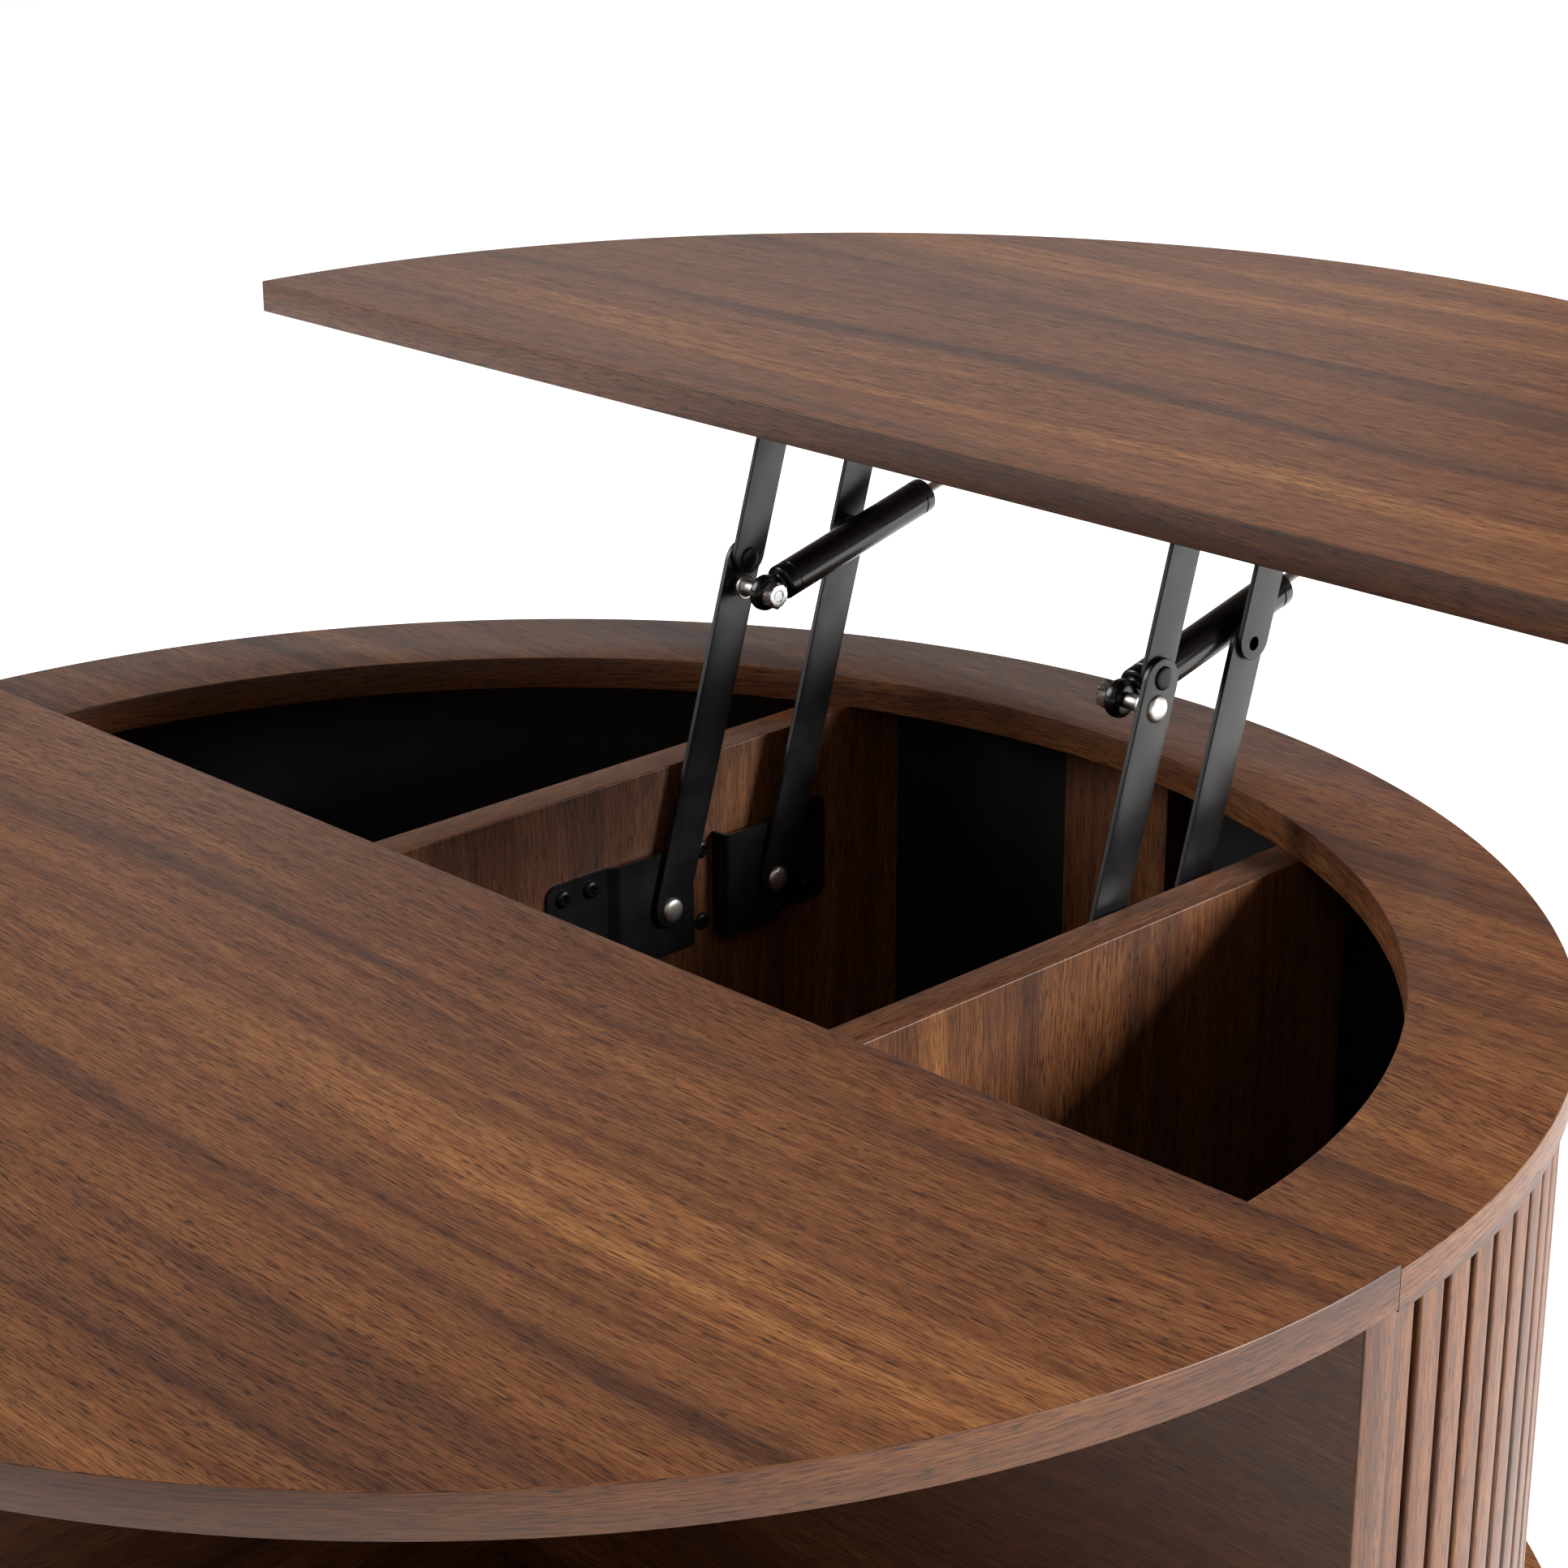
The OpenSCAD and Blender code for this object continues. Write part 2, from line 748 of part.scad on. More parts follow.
base_board();
leg_place(false, false) leg();  // leg_front_left
leg_place(true, false) leg();  // leg_front_right
leg_place(false, true) leg();  // leg_rear_left
leg_place(true, true) leg();  // leg_rear_right
leg();  // leg_centre
leg_plates();
leg_plate_screws();
glides();
partition();
shelf_divider();
on_side(true) divider();  // divider_left
divider();  // divider_right
rear_post();
wall_panel(0, 45);  // wall_panel_right
wall_panel(45, 90);  // wall_panel_rear_right
wall_panel(90, 135);  // wall_panel_rear_left
wall_panel(135, 180);  // wall_panel_left
wall_lining();
wall_slats();
ring_top();
fixed_top();
dowels();
on_side(true) front_bracket();  // front_bracket_left
on_side(true) rear_bracket();  // rear_bracket_left
front_bracket();  // front_bracket_right
rear_bracket();  // rear_bracket_right
base_bracket_screws();
front_base_rivets();
rear_base_rivets();
on_side(true) front_arm();  // front_arm_left
front_arm();  // front_arm_right
strut_studs();
stud_collars();
on_side(true) rear_arm();  // rear_arm_left
rear_arm();  // rear_arm_right
lid_panel();
on_side(true) lid_bracket();  // lid_bracket_left
lid_bracket();  // lid_bracket_right
lid_bracket_screws();
lid_bumpers();
front_lid_rivets();
rear_lid_rivets();
strut_hangers();
hanger_pins();
on_side(true) strut_rod();  // strut_rod_left
strut_rod();  // strut_rod_right
on_side(true) strut_cylinder();  // strut_cylinder_left
strut_cylinder();  // strut_cylinder_right
strut_nuts();
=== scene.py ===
import json
import math

import bmesh
import bpy
import numpy as np
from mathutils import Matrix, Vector


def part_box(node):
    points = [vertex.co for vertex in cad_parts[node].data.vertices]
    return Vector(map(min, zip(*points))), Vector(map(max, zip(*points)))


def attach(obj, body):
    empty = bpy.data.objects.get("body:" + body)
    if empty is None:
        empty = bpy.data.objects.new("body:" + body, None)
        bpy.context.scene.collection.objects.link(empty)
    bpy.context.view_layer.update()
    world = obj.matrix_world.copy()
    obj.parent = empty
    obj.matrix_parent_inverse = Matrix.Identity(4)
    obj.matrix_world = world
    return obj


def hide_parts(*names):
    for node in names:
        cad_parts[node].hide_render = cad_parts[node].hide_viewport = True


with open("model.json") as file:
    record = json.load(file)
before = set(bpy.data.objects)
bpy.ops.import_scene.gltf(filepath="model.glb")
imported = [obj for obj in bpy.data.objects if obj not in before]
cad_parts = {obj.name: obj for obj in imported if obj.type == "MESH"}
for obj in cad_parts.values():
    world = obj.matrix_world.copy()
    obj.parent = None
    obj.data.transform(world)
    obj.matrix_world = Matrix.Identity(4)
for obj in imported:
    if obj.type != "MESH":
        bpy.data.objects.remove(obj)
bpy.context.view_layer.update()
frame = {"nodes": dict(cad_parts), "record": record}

MM = 0.001
record = frame["record"]
body_of = {node: body for body, nodes in record["behaviour"]["bodies"].items() for node in nodes}
slot_of = {part["node"]: part["material_slot"] for part in record["subparts"]}


# ---------------------------------------------------------------- reading the frame

def box(node):
    """Lowest and highest corner of a CAD node, as two arrays."""
    low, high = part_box(node)
    return np.array(low), np.array(high)


def points(node):
    """All vertices of a CAD node as one array."""
    mesh = frame["nodes"][node].data
    flat = np.empty(len(mesh.vertices) * 3, dtype=np.float32)
    mesh.vertices.foreach_get("co", flat)
    return flat.reshape(-1, 3).astype(float)


def solids(node):
    """Lowest and highest corner of each separate solid of a CAD node.

    Points closer than a hundredth of a millimetre count as one. Every point takes the smallest
    label among the triangles it belongs to, again and again, until no label changes."""
    mesh = frame["nodes"][node].data
    mesh.calc_loop_triangles()
    flat = np.empty(len(mesh.loop_triangles) * 3, dtype=np.int32)
    mesh.loop_triangles.foreach_get("vertices", flat)
    where = points(node)
    _, same = np.unique(np.round(where / (0.01 * MM)), axis=0, return_inverse=True)
    corners = same.reshape(-1)[flat.reshape(-1, 3)]
    label = np.arange(same.max() + 1)
    while True:
        least = label[corners].min(axis=1)
        new = label.copy()
        np.minimum.at(new, corners.reshape(-1), np.repeat(least, 3))
        if np.array_equal(new, label):
            break
        label = new
    of_point = label[same.reshape(-1)]
    return [(where[of_point == k].min(axis=0), where[of_point == k].max(axis=0)) for k in np.unique(of_point)]


# ---------------------------------------------------------------- shapes as arrays

def shape(verts, faces, uvs, flat):
    """A shape is its points, its faces, a grain place (along, across) for each face corner, in
    metres, and for each face whether it is shaded flat."""
    return {"verts": verts, "faces": faces, "uvs": uvs, "flat": flat}


def joined(shapes):
    """Several shapes as one."""
    starts = np.cumsum([0] + [len(s["verts"]) for s in shapes])
    faces = [[i + start for i in face] for s, start in zip(shapes, starts) for face in s["faces"]]
    uvs = np.concatenate([s["uvs"] for s in shapes])
    flat = [f for s in shapes for f in s["flat"]]
    return shape(np.concatenate([s["verts"] for s in shapes]), faces, uvs, flat)


def skin(grid, along, across):
    """The quads of a grid of points whose last column meets its first.

    along and across give each column's and each row's grain place; along has one value more
    than there are columns, for the way back to the start."""
    rows, cols = grid.shape[:2]
    r = np.arange(rows - 1)[:, None]
    c = np.arange(cols)[None, :]
    nxt = (c + 1) % cols
    around = (r * cols + c, r * cols + nxt, (r + 1) * cols + nxt, (r + 1) * cols + c)
    quads = np.stack(np.broadcast_arrays(*around), -1)
    u = np.stack(np.broadcast_arrays(along[c], along[c + 1], along[c + 1], along[c]), -1)
    v = np.stack(np.broadcast_arrays(across[r], across[r], across[r + 1], across[r + 1]), -1)
    u, v = np.broadcast_arrays(u, v)
    uvs = np.stack([u, v], -1).reshape(-1, 2)
    return quads.reshape(-1, 4).tolist(), uvs


PLANES = {"z": (0, 1, 2), "x": (1, 2, 0), "y": (2, 0, 1)}


def board(outline, low, high, axis="z", arris=0.5 * MM, grain=(1, 0), offset=(0.0, 0.0), steps=3):
    """A flat board: an outline carried from low to high along an axis, with rounded arrises.

    The outline's points run round it anticlockwise. A quarter circle of radius arris joins each
    face to the rim: its inset is arris * (1 - sin q) and its height arris * (1 - cos q), for q
    from 0 to 90 degrees. Each point moves in along its mitre, the sum of the normals of its two
    edges over one plus their product. grain is the direction of the grain on the faces; on the
    rim it runs along the edge."""
    outline = np.asarray(outline, dtype=float)
    edge = np.roll(outline, -1, axis=0) - outline
    length = np.linalg.norm(edge, axis=1)
    normal = np.stack([edge[:, 1], -edge[:, 0]], -1) / length[:, None]
    before = np.roll(normal, 1, axis=0)
    mitre = (normal + before) / (1 + (normal * before).sum(axis=1, keepdims=True))
    q = np.radians(np.linspace(0, 90, steps + 1))
    inset = arris * (1 - np.sin(q))
    rise = arris * (1 - np.cos(q))
    insets = np.concatenate([inset, inset[::-1]])
    heights = np.concatenate([low + rise, high - rise[::-1]])
    flat_grid = outline[None] - mitre[None] * insets[:, None, None]
    rows, cols = flat_grid.shape[:2]
    grid = np.empty((rows, cols, 3))
    a, b, up = PLANES[axis]
    grid[..., a] = flat_grid[..., 0]
    grid[..., b] = flat_grid[..., 1]
    grid[..., up] = heights[:, None]
    along = np.concatenate([[0.0], np.cumsum(length)]) + offset[0]
    faces, uvs = skin(grid, along, heights + offset[1])
    g = np.array(grain, dtype=float)
    turn = np.stack([g, [-g[1], g[0]]], -1)
    caps = [list(range(cols))[::-1], [(rows - 1) * cols + i for i in range(cols)]]
    cap_uvs = [flat_grid[0][::-1] @ turn + offset, flat_grid[-1] @ turn + offset]
    flat = [False] * len(faces) + [True, True]
    return shape(grid.reshape(-1, 3), faces + caps, np.concatenate([uvs] + cap_uvs), flat)


def turned(profile, centre, axis="z", segments=48, offset=(0.0, 0.0), limit=None, dent=None):
    """A turned piece: a profile of (height, radius) pairs carried round an axis.

    A point at angle a is at radius * (cos a, sin a) across the axis and at height along it.
    limit gives the largest radius at each angle, for a piece with flats. dent gives how deep
    each point is pressed in, towards the profile's last height, from its two places across."""
    profile = np.asarray(profile, dtype=float)
    angle = np.linspace(0, 2 * math.pi, segments, endpoint=False)
    radius = np.broadcast_to(profile[:, 1:2], (len(profile), segments))
    if limit is not None:
        radius = np.minimum(radius, limit(angle)[None])
    across_a, across_b = radius * np.cos(angle), radius * np.sin(angle)
    height = np.broadcast_to(profile[:, 0:1], radius.shape)
    if dent is not None:
        inward = np.sign(profile[-1, 0] - profile[0, 0])
        height = height + inward * dent(across_a, across_b)
    a, b, up = PLANES[axis]
    grid = np.empty((len(profile), segments, 3))
    grid[..., a] = across_a + centre[a]
    grid[..., b] = across_b + centre[b]
    grid[..., up] = height + centre[up]
    widest = profile[:, 1].max()
    faces, uvs = skin(grid, np.linspace(0, 2 * math.pi * widest, segments + 1), profile[:, 0])
    return shape(grid.reshape(-1, 3), faces, uvs[:, ::-1] + offset, [False] * len(faces))


def domed(base, top, radius, power=2.6, steps=9):
    """Profile of a dome from its middle out to its rim: radius * sin(t) ** (2 / power) across
    and (top - base) * cos(t) ** (2 / power) above its base, for t from 0 to 90 degrees."""
    t = np.radians(np.linspace(0, 90, steps + 1))
    rise = (top - base) * np.abs(np.cos(t)) ** (2 / power)
    return np.stack([base + rise, radius * np.sin(t) ** (2 / power)], -1)


def mirrored(form):
    """The same shape on the other side of the table's middle plane."""
    return form | {"verts": form["verts"] * (-1, 1, 1)}


def both_sides(form):
    return joined([form, mirrored(form)])


def tilted(form, centre, direction):
    """A shape drawn along +Y, turned about X through a centre so that it runs along a
    direction (y, z)."""
    dy, dz = direction
    turn = np.array([[1, 0, 0], [0, dy, dz], [0, -dz, dy]])
    return form | {"verts": (form["verts"] - centre) @ turn + centre}


def closer(path, end, radius, steps=6):
    """A path with extra points on its first edge, radius * (1 - cos q) from a free end at
    y = end, so that its rounded corners have enough of them."""
    q = np.radians(np.linspace(0, 90, steps + 1))[1:]
    extra = [(end + radius * (1 - np.cos(a)), path[0][1]) for a in q]
    return np.concatenate([path[:1], extra, path[1:]])


def rounded_path(places, radius, steps=5):
    """A path with each inner corner replaced by an arc of a radius.

    The arc starts radius * tan(half the turn) before the corner; its points turn the first
    edge's normal step by step about the arc's centre."""
    places = np.asarray(places, dtype=float)
    out = [places[:1]]
    for before, corner, after in zip(places, places[1:], places[2:]):
        u = (corner - before) / np.linalg.norm(corner - before)
        v = (after - corner) / np.linalg.norm(after - corner)
        turn = math.atan2(u[0] * v[1] - u[1] * v[0], u @ v)
        first = corner - u * radius * math.tan(abs(turn) / 2)
        side = np.array([-u[1], u[0]]) * math.copysign(1, turn)
        a = np.linspace(0, abs(turn), steps + 1)[:, None]
        out.append(first + radius * (np.sin(a) * u + (1 - np.cos(a)) * side))
    return np.concatenate(out + [places[-1:]])


def folded(path, thickness, low, high, end, end_radius):
    """Sheet metal: a path of (y, x) points, made thick and carried from low to high.

    Each point moves out to both sides by half the thickness along the mean normal of its two
    edges. Within end_radius of y = end, low and high are drawn in by a quarter circle:
    r - sqrt(r * r - (r - distance) ** 2)."""
    step = np.diff(path, axis=0)
    normal = np.stack([-step[:, 1], step[:, 0]], -1) / np.linalg.norm(step, axis=1)[:, None]
    normal = np.concatenate([normal[:1], (normal[1:] + normal[:-1]) / 2, normal[-1:]])
    normal /= (normal**2).sum(axis=1, keepdims=True) ** 0.5
    sides = [path - normal * thickness / 2, path + normal * thickness / 2]
    near = np.clip(end_radius - np.abs(path[:, 0] - end), 0, end_radius)
    drop = end_radius - np.sqrt(end_radius**2 - near**2)
    grid = np.empty((len(path), 4, 3))
    for column, (side, edge) in enumerate([(0, 0), (0, 1), (1, 1), (1, 0)]):
        grid[:, column, 1] = sides[side][:, 0]
        grid[:, column, 0] = sides[side][:, 1]
        grid[:, column, 2] = high - drop if edge else low + drop
    faces, uvs = skin(grid, np.array([0, high - low, high - low, 0, 0]), path[:, 0])
    last = (len(path) - 1) * 4
    caps = [[3, 2, 1, 0], [last, last + 1, last + 2, last + 3]]
    faces += caps
    uvs = np.concatenate([uvs, np.zeros((8, 2))])
    return shape(grid.reshape(-1, 3), faces, uvs, [False] * len(faces))


def rounded_profile(start, end, radius, arris, steps=4):
    """Profile of a cylinder from start to end with its two arrises rounded."""
    q = np.radians(np.linspace(0, 90, steps + 1))
    first = np.stack([start + arris * (1 - np.cos(q)), radius - arris * (1 - np.sin(q))], -1)
    last = np.stack([end - arris * (1 - np.cos(q)), radius - arris * (1 - np.sin(q))], -1)[::-1]
    return np.concatenate([[[start, 0]], first, last, [[end, 0]]])


def arc(radius, start, end, steps, centre=(0.0, 0.0)):
    """Points on a circle from angle start to end, in degrees, both ends included."""
    a = np.radians(np.linspace(start, end, steps + 1))
    return np.stack([centre[0] + radius * np.cos(a), centre[1] + radius * np.sin(a)], -1)


# ---------------------------------------------------------------- pieces

def piece(name, form, material, nodes, sharp_above=40):
    """Makes a shape a piece that stands for one or more CAD nodes and rides on their body."""
    mesh = bpy.data.meshes.new(name)
    mesh.from_pydata(form["verts"].tolist(), [], form["faces"])
    layer = mesh.uv_layers.new(name="grain")
    layer.data.foreach_set("uv", np.ascontiguousarray(form["uvs"], dtype=np.float32).reshape(-1))
    mesh.polygons.foreach_set("use_smooth", [not f for f in form["flat"]])
    work = bmesh.new()
    work.from_mesh(mesh)
    bmesh.ops.remove_doubles(work, verts=work.verts, dist=1e-6)
    bmesh.ops.recalc_face_normals(work, faces=work.faces)
    work.to_mesh(mesh)
    work.free()
    mesh.set_sharp_from_angle(angle=math.radians(sharp_above))
    mesh.materials.append(material)
    made = bpy.data.objects.new(name, mesh)
    bpy.context.scene.collection.objects.link(made)
    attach(made, body_of[nodes[0]])
    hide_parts(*nodes)
    return made


# ---------------------------------------------------------------- materials

def linear(hexa):
    """An sRGB hex colour as linear red, green, blue and alpha."""
    parts = [int(hexa[i:i + 2], 16) / 255 for i in (1, 3, 5)]
    return tuple(p / 12.92 if p <= 0.04045 else ((p + 0.055) / 1.055) ** 2.4 for p in parts) + (1.0,)


def add(tree, kind, settings=None, links=None):
    """Adds a node. settings are its own properties, or its inputs where the name is an input's;
    links join its inputs to other nodes' outputs."""
    made = tree.nodes.new(kind)
    for key, value in (settings or {}).items():
        if isinstance(key, int) or key in made.inputs:
            made.inputs[key].default_value = value
        else:
            setattr(made, key, value)
    for key, socket in (links or {}).items():
        tree.links.new(socket, made.inputs[key])
    return made


def start(name):
    """A new material with only its shader and its output. Returns the material, tree and shader."""
    made = bpy.data.materials.new(name)
    made.use_nodes = True
    tree = made.node_tree
    tree.nodes.clear()
    shader = add(tree, "ShaderNodeBsdfPrincipled")
    add(tree, "ShaderNodeOutputMaterial", links={"Surface": shader.outputs["BSDF"]})
    return made, tree, shader


def stretched(tree, place, along_mm, across_mm, shift=0.0, **noise):
    """Noise whose marks are about along_mm long and across_mm wide on the grain's places."""
    mapping = {"Location": (shift, shift, shift), "Scale": (1 / (along_mm * MM), 1 / (across_mm * MM), 1)}
    moved = add(tree, "ShaderNodeMapping", mapping, {"Vector": place})
    settings = {"Scale": 1.0, "Detail": 2.0, "Roughness": 0.5} | noise
    return add(tree, "ShaderNodeTexNoise", settings, {"Vector": moved.outputs[0]}).outputs["Fac"]


def ramp(tree, factor, stops):
    """A colour ramp with the given (place, hex colour) stops."""
    made = add(tree, "ShaderNodeValToRGB", links={"Fac": factor})
    band = made.color_ramp
    while len(band.elements) < len(stops):
        band.elements.new(0.5)
    for element, (place, colour) in zip(band.elements, stops):
        element.position = place
        element.color = linear(colour)
    return made.outputs["Color"]


def spread(tree, value, low, high, to_low=0.0, to_high=1.0):
    """A value brought from low..high to to_low..to_high and held there."""
    settings = {"From Min": low, "From Max": high, "To Min": to_low, "To Max": to_high}
    return add(tree, "ShaderNodeMapRange", settings, {"Value": value}).outputs["Result"]


def blended(tree, kind, factor, first, second):
    """Two colours mixed; factor and second may be numbers and colours or other nodes' outputs."""
    made = add(tree, "ShaderNodeMix", {"data_type": "RGBA", "blend_type": kind})
    for index, given in ((0, factor), (6, first), (7, second)):
        if isinstance(given, bpy.types.NodeSocket):
            tree.links.new(given, made.inputs[index])
        else:
            made.inputs[index].default_value = given
    return made.outputs[2]


GRAIN_BEND = 14 * MM
PORE_DEPTH = 0.06 * MM


def walnut(name, dark, mid, light, gloss):
    """Walnut-pattern laminate: broad bands of tone, darker growth lines that wander along the
    board, short fibre streaks and fine pores pressed into a satin film. Real pores are a fifth
    of a millimetre wide; they are drawn wider here, or they would not show."""
    made, tree, shader = start(name)
    place = add(tree, "ShaderNodeUVMap", {"uv_map": "grain"}).outputs["UV"]
    wander = stretched(tree, place, 520, 130, 3.1, Detail=1.0)
    sideways = spread(tree, wander, 0.25, 0.75, -GRAIN_BEND, GRAIN_BEND)
    bend = add(tree, "ShaderNodeCombineXYZ", links={"Y": sideways}).outputs[0]
    flow = add(tree, "ShaderNodeVectorMath", {"operation": "ADD"}, {0: place, 1: bend}).outputs[0]
    bands = stretched(tree, flow, 800, 40, 7.7, Detail=3.0, Roughness=0.55)
    lines = stretched(tree, flow, 300, 6.0, 1.3, Detail=5.0, Roughness=0.7)
    fibres = stretched(tree, flow, 18, 0.7, 5.9, Detail=3.0, Roughness=0.65)
    pores = stretched(tree, flow, 7, 0.55, 9.2, Detail=1.0, Roughness=0.5)
    tone = ramp(tree, bands, [(0.34, dark), (0.46, mid), (0.54, mid), (0.66, light)])
    growth_stops = [(0.34, "#b08d76"), (0.46, "#dccabd"), (0.56, "#f6efe9"), (0.68, "#ffffff")]
    growth = ramp(tree, lines, growth_stops)
    tone = blended(tree, "MULTIPLY", 0.7, tone, growth)
    streak = ramp(tree, fibres, [(0.37, "#7d5f4d"), (0.48, "#dccabd"), (0.60, "#ffffff")])
    tone = blended(tree, "MULTIPLY", 0.8, tone, streak)
    pore = ramp(tree, pores, [(0.35, "#4a3327"), (0.41, "#ffffff")])
    tone = blended(tree, "MULTIPLY", 0.75, tone, pore)
    tree.links.new(tone, shader.inputs["Base Color"])
    shader.inputs["Specular IOR Level"].default_value = 0.5
    tree.links.new(spread(tree, fibres, 0.3, 0.7, gloss + 0.06, gloss - 0.04), shader.inputs["Roughness"])
    raised = {0: spread(tree, fibres, 0.25, 0.6), 1: spread(tree, pores, 0.22, 0.36)}
    relief = add(tree, "ShaderNodeMath", {"operation": "ADD"}, raised).outputs[0]
    bump = add(tree, "ShaderNodeBump", {"Strength": 0.2, "Distance": PORE_DEPTH}, {"Height": relief})
    tree.links.new(bump.outputs["Normal"], shader.inputs["Normal"])
    return made


PATCH_SIZE = 14 * MM
GRIT_DEPTH = 0.05 * MM


def coated(name, colour, speck, roughness, grit_mm, strength, metallic=0.0):
    """A coat of paint, plastic or plating with a fine grit: colour and roughness change a little
    from patch to patch, and the grit gives the surface a faint bump."""
    made, tree, shader = start(name)
    place = add(tree, "ShaderNodeTexCoord").outputs["Object"]
    broad = {"Scale": 1 / PATCH_SIZE, "Detail": 3.0}
    fine = {"Scale": 1 / (grit_mm * MM), "Detail": 2.0}
    patch = add(tree, "ShaderNodeTexNoise", broad, {"Vector": place}).outputs["Fac"]
    grit = add(tree, "ShaderNodeTexNoise", fine, {"Vector": place}).outputs["Fac"]
    tree.links.new(ramp(tree, patch, [(0.3, colour), (0.7, speck)]), shader.inputs["Base Color"])
    dull = spread(tree, patch, 0.3, 0.7, roughness - 0.04, roughness + 0.05)
    tree.links.new(dull, shader.inputs["Roughness"])
    bump = add(tree, "ShaderNodeBump", {"Strength": strength, "Distance": GRIT_DEPTH}, {"Height": grit})
    tree.links.new(bump.outputs["Normal"], shader.inputs["Normal"])
    shader.inputs["Metallic"].default_value = metallic
    return made


# Walnut-pattern paper under a satin melamine film: warm brown with a soft, broad highlight.
WALNUT = walnut("walnut_laminate_satin", "#5e3c26", "#815431", "#9d6c3e", 0.42)
# Sprayed and baked on pressed steel: near black, with a faint orange peel.
POWDER_COAT = coated("black_powder_coat", "#0f0f10", "#151516", 0.36, 0.35, 0.12)
# Blackened steel: dark metal that still glints on its edges.
BLACK_OXIDE = coated("black_oxide_screws", "#101010", "#19191a", 0.38, 0.3, 0.05, metallic=0.6)
# Matt black foil on the inside of the curved wall: almost no highlight.
LINING = coated("black_foil_lining", "#020202", "#030303", 0.62, 0.6, 0.1)
# Plated and tumbled: a bright but blurred reflection.
NICKEL = coated("satin_nickel_plate", "#d8d4cd", "#e6e3dd", 0.36, 0.25, 0.05, metallic=1.0)
# Bright zinc plate: a cooler and sharper reflection than the nickel.
ZINC = coated("bright_zinc_plate", "#c9cbcc", "#dfe0e1", 0.22, 0.25, 0.05, metallic=1.0)
# Pressed fibres: dark, with no highlight.
FELT = coated("pressed_felt", "#2b2825", "#3a3632", 0.9, 0.4, 0.5)
# Moulded rubber: black, dull and slightly grainy.
RUBBER = coated("black_rubber", "#1a1918", "#242220", 0.75, 0.4, 0.2)
# Turned beech dowels: pale and plain.
BEECH = coated("turned_beech", "#c49c6c", "#d3ad7e", 0.55, 0.5, 0.15)
# The board behind the slats, coloured dark brown as painted shade in the narrow gaps between the slats: only
# narrow dull strips of it show.
GAP_SHADE_BOARD = coated("board_behind_slats_painted_shade", "#2f2018", "#3c2a20", 0.7, 0.5, 0.2)
# Enamelled tube: black and glossy, with a long highlight down its length.
STRUT_PAINT = coated("black_strut_paint", "#0b0b0c", "#101011", 0.24, 0.6, 0.03)

# A material for every slot, so that each CAD node that still shows has one.
LOOKS = {
    "walnut_veneer": WALNUT, "dark_core": GAP_SHADE_BOARD, "black_lining": LINING, "beech": BEECH,
    "black_steel": POWDER_COAT, "black_screws": BLACK_OXIDE, "satin_nickel": NICKEL,
    "zinc": ZINC, "dark_felt": FELT, "dark_rubber": RUBBER,
}
for node, obj in frame["nodes"].items():
    obj.data.materials.clear()
    obj.data.materials.append(LOOKS[slot_of[node]])


# ---------------------------------------------------------------- boards

BAND_ARRIS = 0.8 * MM
ROUND_STEPS = 220
INNER_STEPS = 200
BASE_STEPS = 260


def rear_ring(outer, inner, front):
    """Outline of the part of a ring behind y = front, anticlockwise from its right-hand end."""
    near = math.degrees(math.asin(front / outer))
    far = math.degrees(math.asin(front / inner))
    outside = arc(outer, near, 180 - near, ROUND_STEPS)
    inside = arc(inner, 180 - far, far, INNER_STEPS)
    return np.concatenate([outside, inside])


def round_boards():
    low, high = box("fixed_top")
    radius = -low[1]
    cut = math.degrees(math.asin(high[1] / radius))
    outline = arc(radius, 180 - cut, 360 + cut, ROUND_STEPS)
    piece("fixed_half_top", board(outline, low[2], high[2]), WALNUT, ["fixed_top"])

    low, high = box("ring_top")
    inner = np.linalg.norm(points("ring_top")[:, :2], axis=1).min()
    outline = rear_ring(high[1], inner, low[1])
    piece("storage_ring", board(outline, low[2], high[2], offset=(2.3, 1.7)), WALNUT, ["ring_top"])

    low, high = box("lid_panel")
    radius = (high[0] - low[0]) / 2
    centre = high[1] - radius
    cut = math.degrees(math.asin((low[1] - centre) / radius))
    outline = arc(radius, cut, 180 - cut, ROUND_STEPS, (0.0, centre))
    piece("lid_board", board(outline, low[2], high[2], offset=(5.1, 4.4)), WALNUT, ["lid_panel"])

    low, high = box("base_board")
    outline = arc(high[0], 0, 360, BASE_STEPS)[:-1]
    piece("base_disc", board(outline, low[2], high[2], offset=(9.4, 8.2)), WALNUT, ["base_board"])


def rectangle(low, high):
    return np.array([[low[0], low[1]], [high[0], low[1]], [high[0], high[1]], [low[0], high[1]]])


def upright(name, node, axis, grain, offset):
    """An upright board that fills its CAD node's box."""
    low, high = box(node)
    a, b, up = PLANES[axis]
    outline = rectangle((low[a], low[b]), (high[a], high[b]))
    form = board(outline, low[up], high[up], axis, BAND_ARRIS, grain, offset)
    piece(name, form, WALNUT, [node])


def upright_boards():
    upright("partition_board", "partition", "y", (0, 1), (3.2, 6.1))
    upright("shelf_divider_board", "shelf_divider", "x", (1, 0), (4.6, 2.9))
    storage_divider("left", (7.2, 3.3))
    storage_divider("right", (8.8, 5.2))
    upright("rear_wall_post", "rear_post", "y", (1, 0), (6.6, 7.4))


